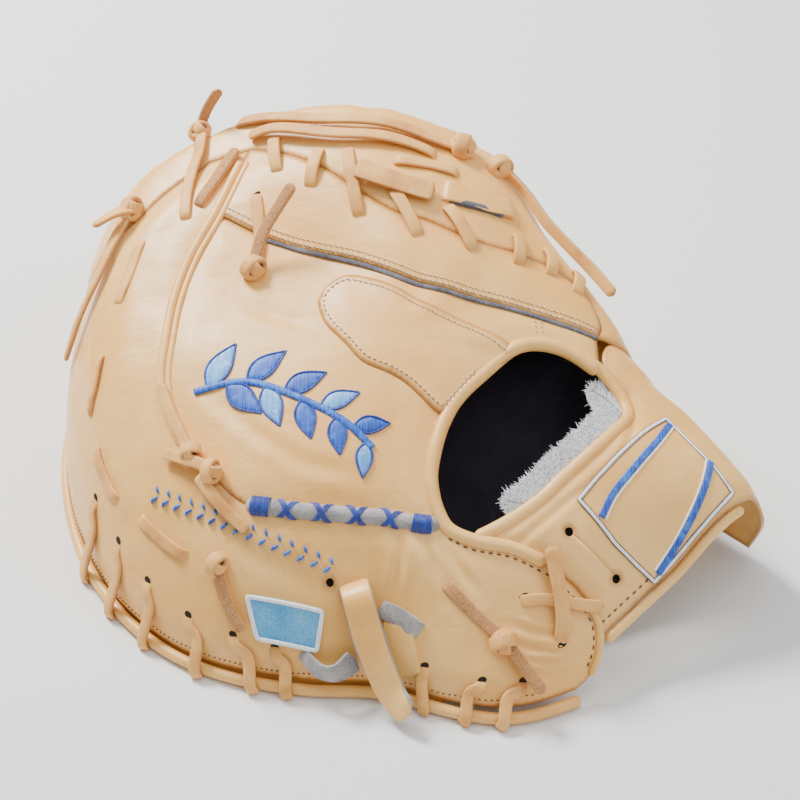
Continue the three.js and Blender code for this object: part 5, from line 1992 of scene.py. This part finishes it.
@dataclass
class Trim:
    """The sewn label and patch places, the painted shade in the holes and the plain embroidery."""

    shop: Workshop
    label: Places = (
        (350, 0.745), (342, 0.57), (335, 0.547), (328, 0.57), (321, 0.599), (321, 0.664), (321, 0.723),
        (322, 0.778), (323, 0.826), (328, 0.806), (332, 0.787), (336, 0.777), (341, 0.795), (343, 0.759),
        (345, 0.733), (348, 0.733),
    )
    patch: Places = ((235, 0.858), (253, 0.858), (253, 0.94), (240, 0.935))
    bars: Sequence[Places] = (
        ((348, 0.716), (342, 0.612), (335, 0.595), (328, 0.624), (322.5, 0.66)),
        ((343.5, 0.748), (339, 0.73), (334, 0.75), (329, 0.784), (324.5, 0.81)),
    )
    stem: Places = ((191, 0.61), (194, 0.47), (212, 0.36), (240, 0.35), (258, 0.42))
    arc: Places = ((205, 0.834), (217, 0.772), (229, 0.747), (241, 0.753), (254, 0.78))
    leaves: int = 10
    leaf_size: float = 23
    leaf_less: float = 0.8
    leaf_half: float = 0.26
    leaf_lean: float = 0.85

    def build(self) -> None:
        """Builds the label, the patch, the painted shade in the eyelets and slits, and the embroidery."""
        form = self.shop.form
        label = Panel(
            "strap_label", closed([form.flat(self.label)]), 1.4 * MM, lift=2.1 * MM, thick=1.2 * MM,
            roll_off=0.5 * MM, uneven=0.5 * MM,
        )
        self.shop.dress(label.build(form), Finish.LEATHER, "strap_label")
        patch = Panel(
            "thumb_patch", eased(closed([form.flat(self.patch)], 0.8 * MM), 10), 1.3 * MM,
            lift=2.5 * MM, thick=1.2 * MM, roll_off=0.4 * MM, uneven=0.7 * MM,
        )
        self.shop.dress(patch.build(form), Finish.PATCH, "thumb_patch")
        frame = [
            self.edging("label_edge", self.label, 1.0 * MM, 1.6 * MM, 2.15 * MM, 0.9 * MM),
            self.edging("patch_edge", self.patch, 0.9 * MM, 2.0 * MM, 2.75 * MM, 1.3 * MM),
        ]
        outline = [
            self.edging("label_line_out", self.label, 0.1 * MM, 0.45 * MM, 2.0 * MM, 0.8 * MM),
            self.edging("label_line_in", self.label, 2.0 * MM, 0.45 * MM, 2.2 * MM, 0.6 * MM),
        ]
        stripes = []
        for k, bar in enumerate(self.bars):
            flat = even_steps(catmull(form.flat(bar), 10), 1.0 * MM)
            points, ups = form.on(flat, ON_LABEL)
            stripes.append(sweep(f"bar_{k}", points, ups, Section.LACE.corners(2.9 * MM, 0.9 * MM)))
            points, ups = form.on(beside(flat, (1 - 2 * k) * 2.2 * MM), 2.45 * MM)
            frame.append(sweep(f"pin_{k}", points, ups, Section.ROUND.corners(0.9 * MM, 0.8 * MM)))
        for name, pieces, finish in (
            ("white_trim", frame, Finish.WHITE), ("label_lines", outline, Finish.BROWN),
            ("label_bars", stripes, Finish.BLUE),
        ):
            self.shop.dress(join(name, pieces), finish)
        self.eyelets()
        self.embroidery()

    def edging(
        self, name: str, places: Places, inset: float, width: float, lift: float, thick: float,
    ) -> bpy.types.Object:
        """A raised line of thread just inside an outline.

        Args:
            name: The piece's name.
            places: The outline's corners.
            inset: How far inside it lies.
            width: Width of the line.
            lift: Height over the form.
            thick: Thickness of the line.

        Returns:
            The line.
        """
        ring = eased(closed([self.shop.form.flat(places)], 0.8 * MM), 10 if places is self.patch else 2)
        points, ups = self.shop.form.on(beside(ring, inset, True), lift)
        return sweep(name, points, ups, Section.ROUND.corners(width, thick), ring=True)

    def eyelets(self) -> None:
        """Painted shade: dark discs at the bottoms of the punched holes, and dark patches where laces come
        out of slits.
        """
        form = self.shop.form
        holes = [(place, PUNCHED, PUNCHED, True) for place in EYELETS]
        for angle, top, slant in NEAR_LOOPS:
            holes.append(((angle - 0.15 * slant, top - 0.014), 1.5 * MM, 2.3 * MM, False))
        holes += [(place, 1.3 * MM, 2.5 * MM, False) for place in SLITS]
        pieces = []
        count = 24
        turns = np.arange(count) * 2 * math.pi / count
        faces = [[j, (j + 1) % count, count] for j in range(count)]
        for k, (place, across, along_it, is_sunk) in enumerate(holes):
            centre = form.flat([place])[0]
            way = centre / np.linalg.norm(centre)
            side = np.array([-way[1], way[0]])
            rim = centre + np.outer(np.cos(turns) * across, way) + np.outer(np.sin(turns) * along_it, side)
            flat = np.concatenate([rim, centre[None]])
            verts, _ = form.on(flat, -1.6 * MM) if is_sunk else self.shop.over(flat, 0.15 * MM)
            pieces.append(new_mesh(f"hole_{k}", verts, faces))
        self.shop.dress(join("dark_holes", pieces), Finish.DARK)

    def embroidery(self) -> None:
        """A plain leafy spray in satin stitch, and two rows of slanted bars."""
        form = self.shop.form
        stem = form.seam(self.stem, 0.8 * MM)
        lengths = along(stem)
        points, ups = form.on(stem, 1.5 * MM)
        blue = [sweep("stem", points, ups, Section.ROUND.corners(3.4 * MM, 1.5 * MM))]
        dark = []
        light = []
        for k, part in enumerate(np.linspace(0.06, 0.95, self.leaves)):
            mark = part * lengths[-1]
            root = at(mark, lengths, stem)
            ahead = at(mark + 2 * MM, lengths, stem) - root
            side = 1 if k % 2 == 0 else -1
            heading = math.atan2(ahead[1], ahead[0]) + side * self.leaf_lean
            way = np.array([math.cos(heading), math.sin(heading)])
            left = np.array([-way[1], way[0]])
            size = (self.leaf_size - self.leaf_less * k) * MM
            t = np.linspace(0, 1, 24)
            half = (self.leaf_half * size * np.sin(math.pi * t**0.8) * (1 - 0.2 * t))[:, None]
            spine = root + way * (1.2 * MM + size * t)[:, None]
            outline = np.concatenate([spine + left * half, (spine - left * half)[-2:0:-1]])
            leaf = Panel(
                f"leaf_{k}", closed([outline], 0.7 * MM), 1.0 * MM, lift=1.7 * MM, thick=0.9 * MM,
                roll_off=0.7 * MM, roll_width=1.4 * MM, puff=0.3 * MM, puff_width=3 * MM, uneven=0.05 * MM,
            )
            (blue if k % 3 else light).append(leaf.build(form))
            points, ups = form.on(leaf.outline, 1.5 * MM)
            dark.append(sweep(f"leaf_edge_{k}", points, ups, Section.ROUND.corners(MM, MM), ring=True))
        for name, pieces, finish in (
            ("spray_leaves", blue, Finish.BLUE), ("spray_outline", dark, Finish.NAVY),
            ("spray_light", light, Finish.SKY),
        ):
            self.shop.dress(join(name, pieces), finish)
        bars = [
            StitchRow(self.arc, 0.0, 0.5 * MM, 5.2 * MM, 1.6 * MM, 1.8 * MM, 0.9),
            StitchRow(self.arc, 4.6 * MM, 0.4 * MM, 4.2 * MM, 2.6 * MM, 1.4 * MM, -0.9),
        ]
        self.shop.dress(self.shop.stitches("arc_bars", bars, 5), Finish.BLUE)


@dataclass
class Studio:
    """Camera, soft lights and a pale floor."""

    form: Form
    elevation: float = 42.0
    distance: float = 1.15
    lens: float = 113.85
    shift: tuple[float, float] = (-0.01, 0.03125)
    lamps: Sequence[tuple[str, tuple[float, float, float], float, float]] = (
        ("key", (-0.75, 0.75, 1.25), 0.45, 52), ("fill", (1.1, -0.7, 0.9), 1.4, 9),
        ("top", (0.1, 0.1, 1.6), 1.4, 14),
    )
    sky: Color = (0.92, 0.95, 1.0, 1.0)
    sky_strength: float = 0.42

    def build(self) -> None:
        """Builds the studio."""
        tilt = math.radians(self.elevation)
        aim = Vector(self.form.crown) + Vector((5 * MM, -8 * MM, 60 * MM))
        ahead = Vector((0, math.cos(tilt), -math.sin(tilt)))
        data = bpy.data.cameras.new("view")
        data.lens = self.lens
        data.sensor_width = 36
        data.shift_x, data.shift_y = self.shift
        bpy.context.scene.camera = self.placed(data, aim - ahead * self.distance, ahead)
        for name, place, size, energy in self.lamps:
            lamp = bpy.data.lights.new(name, "AREA")
            lamp.energy = energy
            lamp.size = size
            self.placed(lamp, Vector(place), Vector((0, 0, 0.04)) - Vector(place))
        world = bpy.data.worlds.new("studio")
        world.use_nodes = True
        background = world.node_tree.nodes["Background"].inputs
        background["Color"].default_value = self.sky
        background["Strength"].default_value = self.sky_strength
        bpy.context.scene.world = world
        corners = np.array([[-4.0, -4, 0], [4, -4, 0], [4, 4, 0], [-4, 4, 0]])
        floor = new_mesh("floor", corners, [[0, 1, 2, 3]])
        floor.data.materials.append(Tree("pale_floor").finish(srgb(232, 232, 230), 0.85))

    @staticmethod
    def placed(data: bpy.types.ID, place: Vector, way: Vector) -> bpy.types.Object:
        """A camera or lamp in the scene.

        Args:
            data: The camera or the light.
            place: Where it stands.
            way: Where it looks.

        Returns:
            Its object.
        """
        thing = bpy.data.objects.new(data.name, data)
        thing.location = place
        thing.rotation_euler = way.to_track_quat("-Z", "Y").to_euler()
        bpy.context.scene.collection.objects.link(thing)
        return thing


def main() -> None:
    """Builds the mitt round the frame."""
    logging.basicConfig(level=logging.INFO, format="%(message)s")
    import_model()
    form = Form(CROWN)
    Studio(form).build()
    shop = Workshop(form)
    Back(shop).build()
    Palm(shop).build()
    CrotchBar(shop).build()
    Laces(shop).build()
    Trim(shop).build()


if __name__ == "__main__":
    main()
